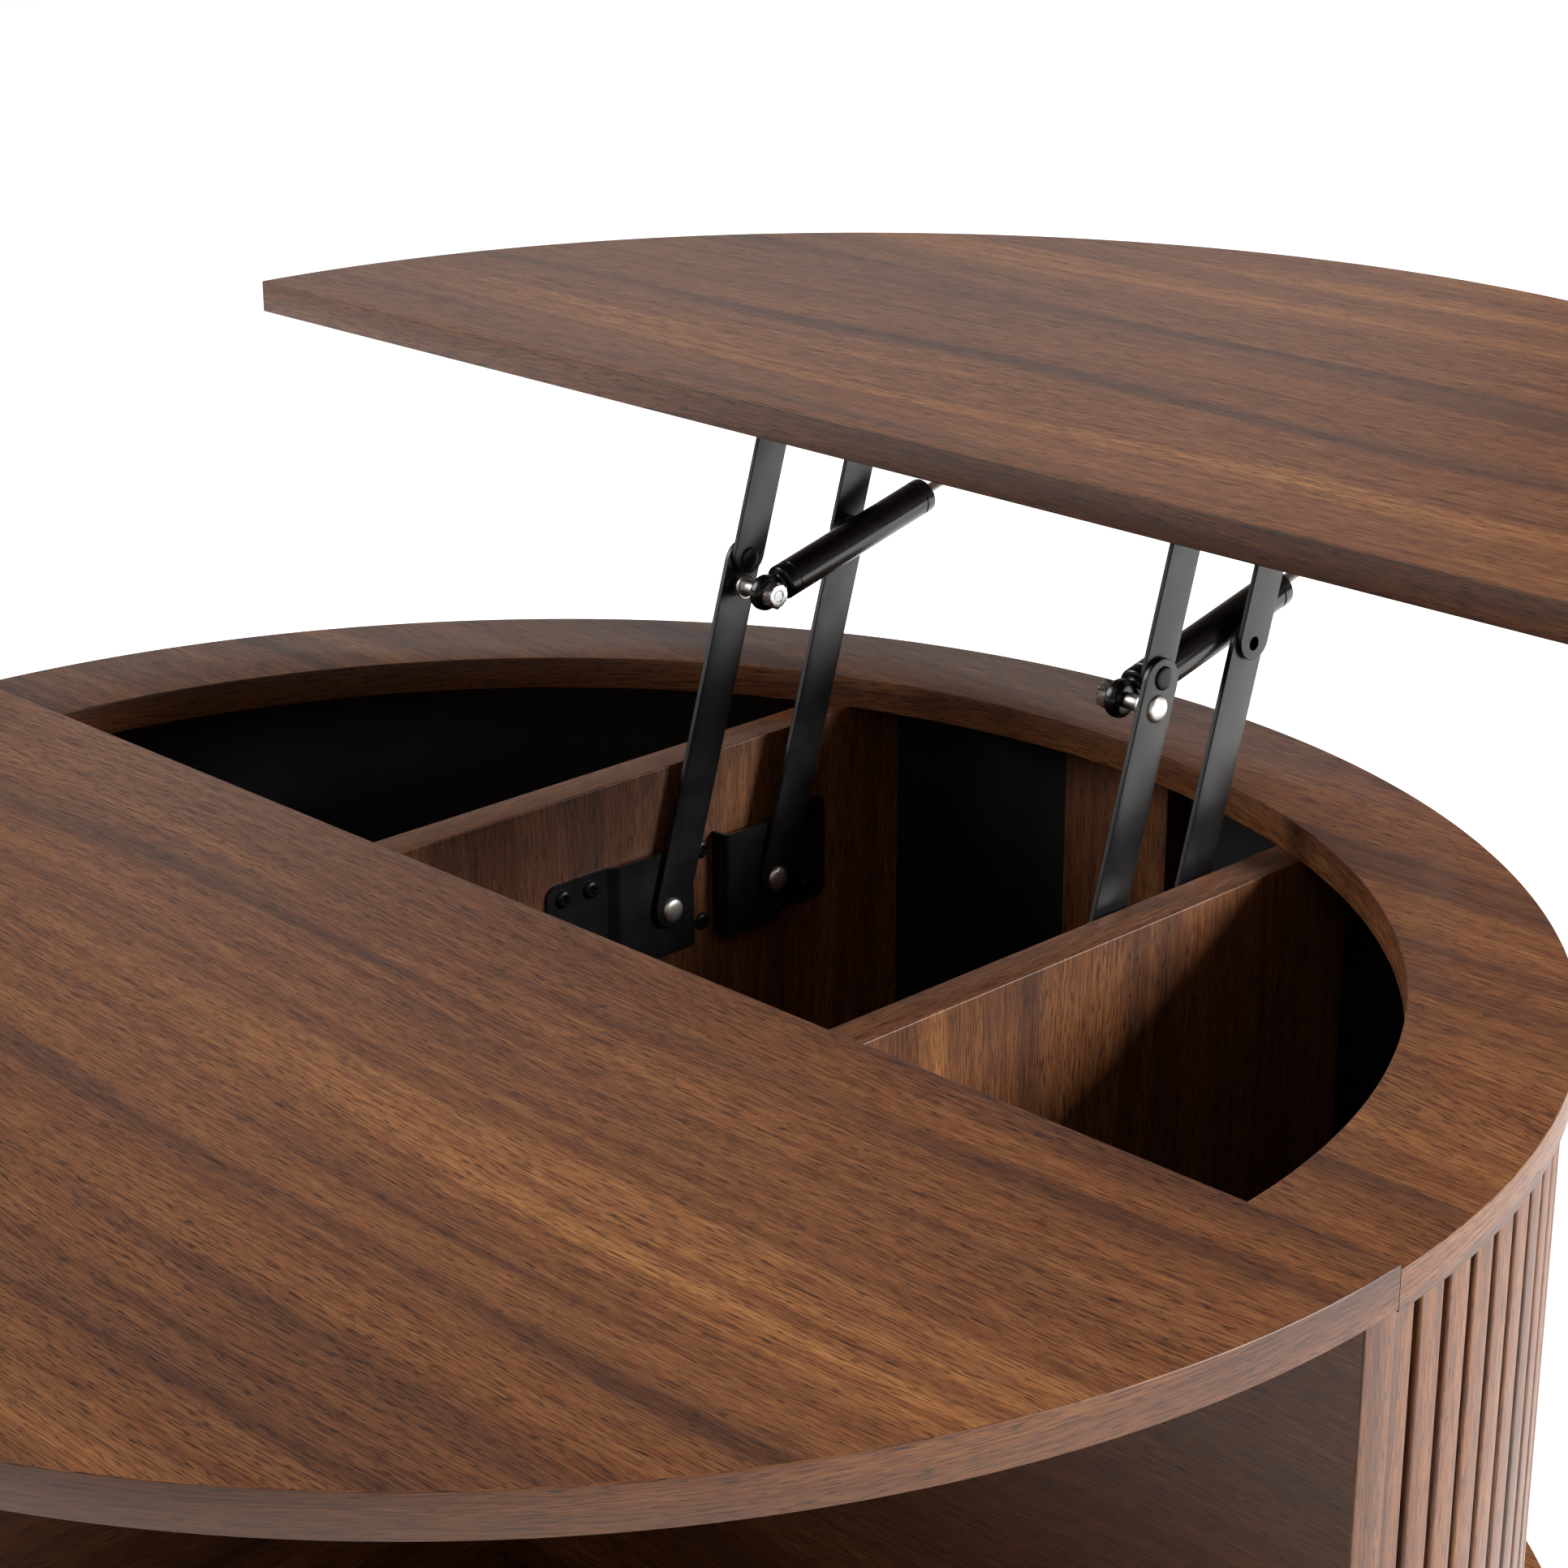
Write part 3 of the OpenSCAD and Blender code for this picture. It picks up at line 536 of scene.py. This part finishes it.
def storage_divider(side, offset):
    """A divider whose far end follows the curved wall: its grain is upright on the faces and
    runs along the top edge."""
    low, high = box("divider_" + side)
    inner, outer = sorted((abs(low[0]), abs(high[0])))
    wall = math.hypot(inner, high[1])
    far = arc(wall, math.degrees(math.acos(outer / wall)), math.degrees(math.acos(inner / wall)), 6)
    outline = np.concatenate([[[inner, low[1]], [outer, low[1]]], far])
    form = board(outline, low[2], high[2], arris=BAND_ARRIS, offset=offset)
    form["uvs"] = form["uvs"][:, ::-1]
    piece("storage_divider_" + side, form if side == "right" else mirrored(form), WALNUT, ["divider_" + side])


SLAT_WIDTH = 15.5 * MM
SLAT_ARRIS = 1.6 * MM
SLAT_END_ARRIS = 0.3 * MM
SLAT_SHARP_ABOVE = 60


def fluted_wall():
    """Every slat is one outline across the radius, with two rounded outer corners, turned to
    its own angle. Its grain runs up the slat, and each slat takes it from another place."""
    reach = np.linalg.norm(points("wall_slats")[:, :2], axis=1)
    q = np.radians(np.linspace(0, 90, 5))
    outer = reach.max() - SLAT_ARRIS * (1 - np.cos(q))
    half = SLAT_WIDTH / 2 - SLAT_ARRIS * (1 - np.sin(q))
    right = np.stack([outer, half], -1)
    back = np.array([[reach.min(), SLAT_WIDTH / 2], [reach.min(), -SLAT_WIDTH / 2]])
    outline = np.concatenate([right[::-1] * (1, -1), right, back])
    forms = []
    for number, (low, high) in enumerate(solids("wall_slats")):
        angle = math.atan2(low[1] + high[1], low[0] + high[0])
        cosine, sine = math.cos(angle), math.sin(angle)
        turned_outline = outline @ [[cosine, sine], [-sine, cosine]]
        form = board(turned_outline, low[2], high[2], arris=SLAT_END_ARRIS, steps=1)
        form["uvs"] = form["uvs"][:, ::-1] + (number * 1.37 % 5, number * 0.83 % 7)
        forms.append(form)
    piece("fluted_wall_slats", joined(forms), WALNUT, ["wall_slats"], SLAT_SHARP_ABOVE)


# ---------------------------------------------------------------- legs and feet

LEG_ARRIS = 1.5 * MM
LEG_TOP_ARRIS = 0.4 * MM
PLATE_CORNER = 8 * MM
PLATE_ARRIS = 0.4 * MM
PAD_ARRIS = 1.2 * MM
BUMPER_ARRIS = 0.8 * MM


def rounded_rectangle(low, high, radius):
    """A rectangle with quarter circles at its corners, anticlockwise."""
    turns = [(high[0], low[1], -90), (high[0], high[1], 0), (low[0], high[1], 90), (low[0], low[1], 180)]
    middle = (np.array(low) + high) / 2
    corners_at = []
    for x, y, begin in turns:
        centre = np.array([x, y]) + radius * np.sign(middle - (x, y))
        corners_at.append(arc(radius, begin, begin + 90, 6, centre))
    return np.concatenate(corners_at)


def legs():
    for number, place in enumerate(("front_left", "front_right", "rear_left", "rear_right", "centre")):
        low, high = box("leg_" + place)
        middle = (low + high) / 2
        foot = np.linalg.norm(points("leg_" + place)[:, :2] - middle[:2], axis=1).min()
        q = np.radians(np.linspace(0, 90, 5))
        rounded = np.stack([low[2] + LEG_ARRIS * (1 - np.sin(q)), foot - LEG_ARRIS * (1 - np.cos(q))], -1)
        top = (high[0] - low[0]) / 2
        head = [[high[2] - LEG_TOP_ARRIS, top], [high[2], top - LEG_TOP_ARRIS], [high[2], 0]]
        profile = np.concatenate([[[low[2], 0]], rounded[::-1], head])
        form = turned(profile, (middle[0], middle[1], 0), segments=64, offset=(number * 1.9, 6.3))
        piece("tapered_leg_" + place, form, WALNUT, ["leg_" + place])


def feet():
    plates = [
        board(rounded_rectangle(low[:2], high[:2], PLATE_CORNER), low[2], high[2], arris=PLATE_ARRIS)
        for low, high in solids("leg_plates")
    ]
    piece("leg_mounting_plates", joined(plates), POWDER_COAT, ["leg_plates"])
    pads = [disc(low, high, PAD_ARRIS) for low, high in solids("glides")]
    piece("felt_glides", joined(pads), FELT, ["glides"])
    stops = [disc(low, high, BUMPER_ARRIS) for low, high in solids("lid_bumpers")]
    piece("rubber_lid_bumpers", joined(stops), RUBBER, ["lid_bumpers"])


def disc(low, high, arris):
    middle = (low + high) / 2
    profile = rounded_profile(low[2], high[2], (high[0] - low[0]) / 2, arris)
    return turned(profile, (middle[0], middle[1], 0), segments=40)


# ---------------------------------------------------------------- screws

SHANK = 2 * MM
PAN_HEIGHT = 1.8 * MM
RECESS_LENGTH = 4.2 * MM
RECESS_WIDTH = 0.9 * MM
RECESS_DEPTH = 1.0 * MM
RECESS_RINGS = 14
RECESS_REACH = 0.62
DOME_FROM = 0.66


def cross_recess(a, b):
    """Depth of a cross-shaped recess: two slots, each falling off over a fifth of a millimetre
    at its sides, and deeper towards the middle."""
    fall = 0.2 * MM

    def slot(across, along):
        side = np.clip((RECESS_WIDTH / 2 + fall - np.abs(across)) / fall, 0, 1)
        return side * np.clip((RECESS_LENGTH / 2 - np.abs(along)) / (3 * fall), 0, 1)

    return RECESS_DEPTH * np.maximum(slot(a, b), slot(b, a))


def screw(low, high, axis, head_at_low):
    """A pan-head screw that fills the box of one solid, with its head at one end of the axis.

    The head's middle is flat as far as RECESS_REACH of its radius, where the recess is pressed
    in, and its rim is the dome beyond DOME_FROM of its radius."""
    up = PLANES[axis][2]
    middle = (low + high) / 2
    middle[up] = 0
    across = PLANES[axis][0]
    radius = (high[across] - low[across]) / 2
    tip, head = (high[up], low[up]) if head_at_low else (low[up], high[up])
    inward = math.copysign(1, tip - head)
    seat = head + inward * PAN_HEIGHT
    rings = np.linspace(0, RECESS_REACH * radius, RECESS_RINGS)
    flat = np.stack([np.full(RECESS_RINGS, head), rings], -1)
    edge = domed(seat, head, radius, 3.0, 12)
    shank = [[seat, SHANK], [tip, SHANK], [tip, 0]]
    profile = np.concatenate([flat, edge[edge[:, 1] > DOME_FROM * radius], shank])
    return turned(profile, middle, axis, 48, dent=cross_recess)


def screws():
    divider = [screw(low, high, "x", low[0] > 0) for low, high in solids("base_bracket_screws")]
    piece("base_bracket_pan_screws", joined(divider), BLACK_OXIDE, ["base_bracket_screws"])
    under = [screw(low, high, "z", True) for low, high in solids("lid_bracket_screws")]
    piece("lid_bracket_pan_screws", joined(under), BLACK_OXIDE, ["lid_bracket_screws"])
    legs_at = [screw(low, high, "z", True) for low, high in solids("leg_plate_screws")]
    piece("leg_plate_pan_screws", joined(legs_at), ZINC, ["leg_plate_screws"])


# ---------------------------------------------------------------- lift

def right(node):
    """Box of a CAD node's solid on the right-hand side."""
    return next(b for b in solids(node) if b[0][0] + b[1][0] > 0)


def centre_of(node):
    """Place (y, z) of the middle of a right-hand solid."""
    low, high = right(node)
    return ((low + high) / 2)[1:]


FRONT_BASE, REAR_BASE = centre_of("front_base_rivets"), centre_of("rear_base_rivets")
FRONT_LID, REAR_LID = centre_of("front_lid_rivets"), centre_of("rear_lid_rivets")
STUD, HANGER = centre_of("strut_nuts"), centre_of("hanger_pins")
PLAY = 0.05 * MM
SHEET_ARRIS = 0.35 * MM
END_INSET = 2 * MM


def bar(start, end, width, cut=None):
    """Outline of a flat bar whose round ends are centred a little inside its two pivots."""
    u = (end - start) / np.linalg.norm(end - start)
    lean = math.degrees(math.atan2(u[1], u[0]))
    foot = arc(width / 2, lean + 90, lean + 270, 20, start + END_INSET * u)
    if cut is None:
        return np.concatenate([foot, arc(width / 2, lean - 90, lean + 90, 20, end - END_INSET * u)])
    tops = [foot[-1] + u * (cut - foot[-1][1]) / u[1], foot[0] + u * (cut - foot[0][1]) / u[1]]
    return np.concatenate([foot, tops])


def pair(name, form, material, node):
    """A piece for each side of the table."""
    piece(name + "_right", form, material, [node + "_right"])
    piece(name + "_left", mirrored(form), material, [node + "_left"])


ARM_WIDTH = 20 * MM
LID_LEG_WIDTH = 18 * MM


def arms():
    for name, node, start, end in (
        ("front_lift_arm", "front_arm", FRONT_BASE, FRONT_LID),
        ("rear_lift_arm", "rear_arm", REAR_BASE, REAR_LID),
    ):
        low, high = box(node + "_right")
        pair(name, board(bar(start, end, ARM_WIDTH), low[0], high[0], "x", SHEET_ARRIS), POWDER_COAT, node)


LID_LEG_THICKNESS = 2.2 * MM
LID_FLANGE_THICKNESS = 2 * MM
FLANGE_MARGIN = 4 * MM
FLANGE_CORNER = 4 * MM


def lid_brackets():
    """Two legs that follow the arms up to the lid, and the flange that is screwed to it."""
    low, high = box("lid_bracket_right")
    u = (FRONT_LID - FRONT_BASE) / np.linalg.norm(FRONT_LID - FRONT_BASE)
    plate = high[0] - LID_LEG_THICKNESS
    under = high[2] - LID_FLANGE_THICKNESS
    legs_up = [
        board(bar(p, p + u, LID_LEG_WIDTH, high[2] - SHEET_ARRIS), plate, high[0], "x", SHEET_ARRIS)
        for p in (FRONT_LID, REAR_LID)
    ]
    fore = right("lid_bracket_screws")[0][1] - FLANGE_MARGIN
    flange = rounded_rectangle((low[0], fore), (high[0], high[1]), FLANGE_CORNER)
    top = board(flange, under, high[2], arris=SHEET_ARRIS)
    pair("lid_hinge_bracket", joined(legs_up + [top]), POWDER_COAT, "lid_bracket")


FOLD_RADIUS = 2.2 * MM
STEP_SLOPE = 5 * MM
SHEET = 1.5 * MM
CORNER = 6 * MM
FRONT_FLAT = 35 * MM
REAR_FLAT = 32 * MM


def base_brackets():
    """Pressed plates with a flat screwed to the divider and a raised part behind the pivot."""
    low, high = box("front_bracket_right")
    wall, face = high[0] - SHEET / 2, low[0] + SHEET / 2
    step, fold = low[1] + FRONT_FLAT, high[1] - SHEET / 2
    path = [(low[1], wall), (step, wall), (step + STEP_SLOPE, face), (fold, face), (fold, high[0])]
    path = closer(rounded_path(path, FOLD_RADIUS), low[1], CORNER)
    form = folded(path, SHEET, low[2], high[2], low[1], CORNER)
    pair("front_base_plate", form, POWDER_COAT, "front_bracket")
    low, high = box("rear_bracket_right")
    wall, face = high[0] - SHEET / 2, low[0] + SHEET / 2
    step, fold = high[1] - REAR_FLAT, low[1] + SHEET / 2
    path = [(high[1], wall), (step, wall), (step - STEP_SLOPE, face), (fold, face), (fold, high[0])]
    path = closer(rounded_path(path, FOLD_RADIUS), high[1], -CORNER)
    form = folded(path, SHEET, low[2], high[2], high[1], CORNER)
    pair("rear_base_plate", form, POWDER_COAT, "rear_bracket")


def pin(profile, centre, segments=48, **more):
    return turned(profile, (0, centre[0], centre[1]), "x", segments, **more)


def headed(seat, head, tip, radius, shank, centre):
    """A pin with a domed head from seat out to head, and a shank from seat to tip."""
    profile = [domed(seat, head, radius), [[seat, shank], [tip, shank], [tip, 0]]]
    return pin(np.concatenate(profile), centre)


RIVET_SHANK = 3 * MM
LOW_HEAD = 1.2 * MM
LOW_POWER = 3.2


def rivets():
    """Domed heads on the side that looks to the table's middle, just clear of the arm."""
    for name, node, arm, centre in (
        ("front_pivot_rivets", "front_base_rivets", "front_arm_right", FRONT_BASE),
        ("rear_pivot_rivets", "rear_base_rivets", "rear_arm_right", REAR_BASE),
    ):
        low, high = right(node)
        form = headed(box(arm)[0][0] - PLAY, low[0], high[0], (high[1] - low[1]) / 2, RIVET_SHANK, centre)
        piece(name, both_sides(form), NICKEL, [node])
    low, high = right("front_lid_rivets")
    radius = (high[1] - low[1]) / 2
    first = domed(low[0] + LOW_HEAD, low[0], radius, LOW_POWER)
    last = domed(high[0] - LOW_HEAD, high[0], radius, LOW_POWER)[::-1]
    shank = [[low[0] + LOW_HEAD, RIVET_SHANK], [high[0] - LOW_HEAD, RIVET_SHANK]]
    form = pin(np.concatenate([first, shank, last]), FRONT_LID)
    piece("front_lid_pivot_rivets", both_sides(form), BLACK_OXIDE, ["front_lid_rivets"])
    low, high = right("rear_lid_rivets")
    first = domed(low[0] + LOW_HEAD, low[0], radius, LOW_POWER)
    shank = [[low[0] + LOW_HEAD, RIVET_SHANK], [high[0], RIVET_SHANK], [high[0], 0]]
    form = pin(np.concatenate([first, shank]), REAR_LID)
    piece("rear_lid_pivot_rivets", both_sides(form), BLACK_OXIDE, ["rear_lid_rivets"])


STUD_SHANK = 2.5 * MM
NECK = 3.4 * MM
RIM_ROUND = 0.7 * MM
LIP = np.array([[1.6, 0], [1.9, 0.25], [1.9, 0.8]])  # back from the face and in from the rim, mm
FLARE_BACK = 3.6 * MM
FLARE_LONG = 2.2 * MM
FLARE_HIGH = 1.2 * MM
FOOT_ARRIS = 0.3 * MM
HANGER_HEAD = 1.7 * MM


def strut_pins():
    """The stud's domed head and its spool-shaped collar, and the upper pin."""
    low, high = right("strut_studs")
    seat = box("front_arm_right")[1][0]
    form = headed(seat, high[0], low[0], (high[1] - low[1]) / 2, STUD_SHANK, STUD)
    piece("strut_stud_heads", both_sides(form), NICKEL, ["strut_studs"])
    low, high = right("stud_collars")
    radius = (high[1] - low[1]) / 2
    a = np.radians(np.linspace(0, 90, 6))
    rim = np.stack([high[0] + RIM_ROUND * (np.cos(a) - 1), radius + RIM_ROUND * (np.sin(a) - 1)], -1)
    lip = np.array([high[0], radius]) - LIP * MM
    back = high[0] - FLARE_BACK + FLARE_LONG * (1 - np.sin(a))
    flare = np.stack([back, NECK + FLARE_HIGH * (1 - np.cos(a[::-1]))], -1)
    foot = [[low[0] + FOOT_ARRIS, NECK], [low[0], NECK - FOOT_ARRIS], [low[0], 0]]
    form = pin(np.concatenate([[[high[0], 0]], rim, lip, flare, foot]), STUD)
    piece("stud_spool_collars", both_sides(form), NICKEL, ["stud_collars"])
    low, high = right("hanger_pins")
    form = headed(low[0] + HANGER_HEAD, low[0], high[0], (high[1] - low[1]) / 2, RIVET_SHANK, HANGER)
    piece("strut_hanger_pins", both_sides(form), NICKEL, ["hanger_pins"])


HEX_APOTHEM = 5.45 * MM
# Height from the face or the foot, and radius, in mm.
NUT_FACE = np.array([
    (0.25, 0), (0.25, 2.3), (0.05, 2.45), (0.3, 2.6), (0.3, 2.75),
    (0, 2.95), (0, 4.7), (0.12, 5.2), (0.75, 6.4),
])
NUT_FOOT = np.array([(-0.5, 6.4), (0, 5.6), (0, 0)])


def hexagon(angle):
    """Distance from the middle of a hexagon to its edge at each angle, with a flat at 0."""
    sixth = math.pi / 3
    return HEX_APOTHEM / np.cos((angle + sixth / 2) % sixth - sixth / 2)


def nuts():
    """Hexagon nuts with a round chamfer on the face and the stud's ring in its middle."""
    low, high = right("strut_nuts")
    from_face = np.array([low[0], 0]) + NUT_FACE * MM
    from_foot = np.array([high[0], 0]) + NUT_FOOT * MM
    form = pin(np.concatenate([from_face, from_foot]), STUD, 96, limit=hexagon)
    piece("hexagon_strut_nuts", both_sides(form), ZINC, ["strut_nuts"])


def hangers():
    low, high = right("strut_hangers")
    half = (high[1] - low[1]) / 2
    outline = np.concatenate([arc(half, 180, 360, 24, HANGER), [[high[1], high[2]], [low[1], high[2]]]])
    form = board(outline, low[0], high[0], "x", SHEET_ARRIS)
    piece("strut_hanger_tabs", both_sides(form), POWDER_COAT, ["strut_hangers"])


EYE_RADIUS = 8 * MM
EYE_HALF = 3.5 * MM
EYE_POWER = 3.4
ROD_RADIUS = 3 * MM
ROD_IN_TUBE = 12 * MM
ROD_SHORT_OF_PIN = 7 * MM
# The tube's profile: distance from the stud or from its far end, and radius, in mm.
TUBE_START = np.array([
    (6.5, 0), (6.5, 3.9), (8.2, 3.9), (8.8, 4.4), (9.0, 5.2), (9.0, 6.4), (9.15, 7.2),
    (9.6, 7.75), (10.3, 8.0), (14.4, 8.0), (14.7, 7.65), (15.3, 7.65), (15.6, 8.0),
])
TUBE_END = np.array([
    (-6.5, 8.0), (-6.2, 7.6), (-5.6, 7.6), (-5.3, 8.0), (-1.4, 8.0), (-0.7, 7.8),
    (-0.2, 7.2), (0, 6.4), (0, 3.6), (-0.6, 3.2), (-1, 0),
])


def eye(place, middle):
    """A rounded eye: the barrel shape of two domes back to back."""
    dome = domed(0, EYE_HALF, EYE_RADIUS, EYE_POWER, 12)
    profile = np.concatenate([dome * (-1, 1), dome[-2::-1]])
    return turned(profile + (middle, 0), (0, place[0], place[1]), "x", 64)


def struts():
    """A painted tube with a rounded shoulder, a rolled groove and a crimped end, and its rod."""
    u = (HANGER - STUD) / np.linalg.norm(HANGER - STUD)
    along = (points("strut_cylinder_right")[:, 1:] - STUD) @ u
    low, high = box("strut_cylinder_right")
    middle = (low[0] + high[0]) / 2
    radius = (high[0] - low[0]) / 2
    end = along.max()
    tube = np.concatenate([TUBE_START * MM, TUBE_END * MM + (end, 0)])
    tube[:, 1] = np.minimum(tube[:, 1], radius)
    centre = np.array([middle, STUD[0], STUD[1]])
    body = tilted(turned(tube, centre, "y", 64), centre, u)
    pair("strut_tube", joined([body, eye(STUD, middle)]), STRUT_PAINT, "strut_cylinder")
    reach = np.linalg.norm(HANGER - STUD)
    first, last = end - ROD_IN_TUBE, reach - ROD_SHORT_OF_PIN
    rod = [(first, 0), (first, ROD_RADIUS), (last, ROD_RADIUS), (last, 0)]
    form = joined([tilted(turned(rod, centre, "y", 48), centre, u), eye(HANGER, middle)])
    pair("strut_piston_rod", form, NICKEL, "strut_rod")


round_boards()
upright_boards()
fluted_wall()
legs()
feet()
screws()
arms()
lid_brackets()
base_brackets()
rivets()
strut_pins()
nuts()
hangers()
struts()


# ---------------------------------------------------------------- floor, light and camera

FLOOR_REACH = 14.0
FLOOR_CORNERS = np.array([(-1, -1, 0), (1, -1, 0), (1, 1, 0), (-1, 1, 0)]) * FLOOR_REACH
FLOOR_GLOW = 0.7
WORLD_STRENGTH = 0.16


def studio():
    """A pale floor that glows a little, so that it reads as white without a bright world, and
    four soft lamps. The glow doesn't light the table: the floor is off for diffuse rays."""
    scene = bpy.context.scene
    mesh = bpy.data.meshes.new("floor")
    mesh.from_pydata(FLOOR_CORNERS.tolist(), [], [(0, 1, 2, 3)])
    floor = bpy.data.objects.new("floor", mesh)
    scene.collection.objects.link(floor)
    pale, _, shader = start("pale_floor")
    shader.inputs["Base Color"].default_value = linear("#f6f5f3")
    shader.inputs["Roughness"].default_value = 0.9
    shader.inputs["Emission Color"].default_value = linear("#ffffff")
    shader.inputs["Emission Strength"].default_value = FLOOR_GLOW
    mesh.materials.append(pale)
    floor.visible_diffuse = False
    world = bpy.data.worlds.new("studio")
    world.use_nodes = True
    world.node_tree.nodes["Background"].inputs["Color"].default_value = linear("#ffffff")
    world.node_tree.nodes["Background"].inputs["Strength"].default_value = WORLD_STRENGTH
    scene.world = world
    scene.view_settings.view_transform = "Standard"
    # name, place in metres, side in metres, watts
    lamp("key", (4.5, 3.3, 2.8), 2.0, 660)
    lamp("front_fill", (1.5, -1.7, 2.3), 1.6, 4)
    lamp("left_fill", (-2.4, -1.8, 2.2), 2.0, 92)
    lamp("rear_sheen", (-2.7, 2.7, 1.5), 2.6, 7)


def lamp(name, place, size, watts):
    """A soft square lamp that looks at the middle of the table's top."""
    light = bpy.data.lights.new(name, "AREA")
    light.size = size
    light.energy = watts
    made = bpy.data.objects.new(name, light)
    made.location = place
    made.rotation_euler = look(np.array(place), TOP_MIDDLE)
    bpy.context.scene.collection.objects.link(made)


def look(eye, target):
    """The turn that points an object's -Z from eye to target."""
    return (Vector(target) - Vector(eye)).to_track_quat("-Z", "Y").to_euler()


TOP_MIDDLE = np.array([0.0, 0.0, box("ring_top")[1][2]])
VIEW_AZIMUTH = math.radians(45.37)
VIEW_ELEVATION = math.radians(20.15)
VIEW_DISTANCE = 1.4765
LENS_LENGTH = 79.73
SENSOR_WIDTH = 36
VIEW_AIM = TOP_MIDDLE + np.array([-0.0432, 0.1911, 0.0])


def camera():
    lens = bpy.data.cameras.new("camera")
    lens.lens = LENS_LENGTH
    lens.sensor_width = SENSOR_WIDTH
    lens.dof.use_dof = False
    made = bpy.data.objects.new("camera", lens)
    away = np.array([
        math.sin(VIEW_AZIMUTH) * math.cos(VIEW_ELEVATION),
        -math.cos(VIEW_AZIMUTH) * math.cos(VIEW_ELEVATION),
        math.sin(VIEW_ELEVATION),
    ])
    eye = VIEW_AIM + VIEW_DISTANCE * away
    made.location = eye
    made.rotation_euler = look(eye, VIEW_AIM)
    bpy.context.scene.collection.objects.link(made)
    bpy.context.scene.camera = made


studio()
camera()


def corners(bounds):
    return [[float(v) for v in corner] for corner in bounds]
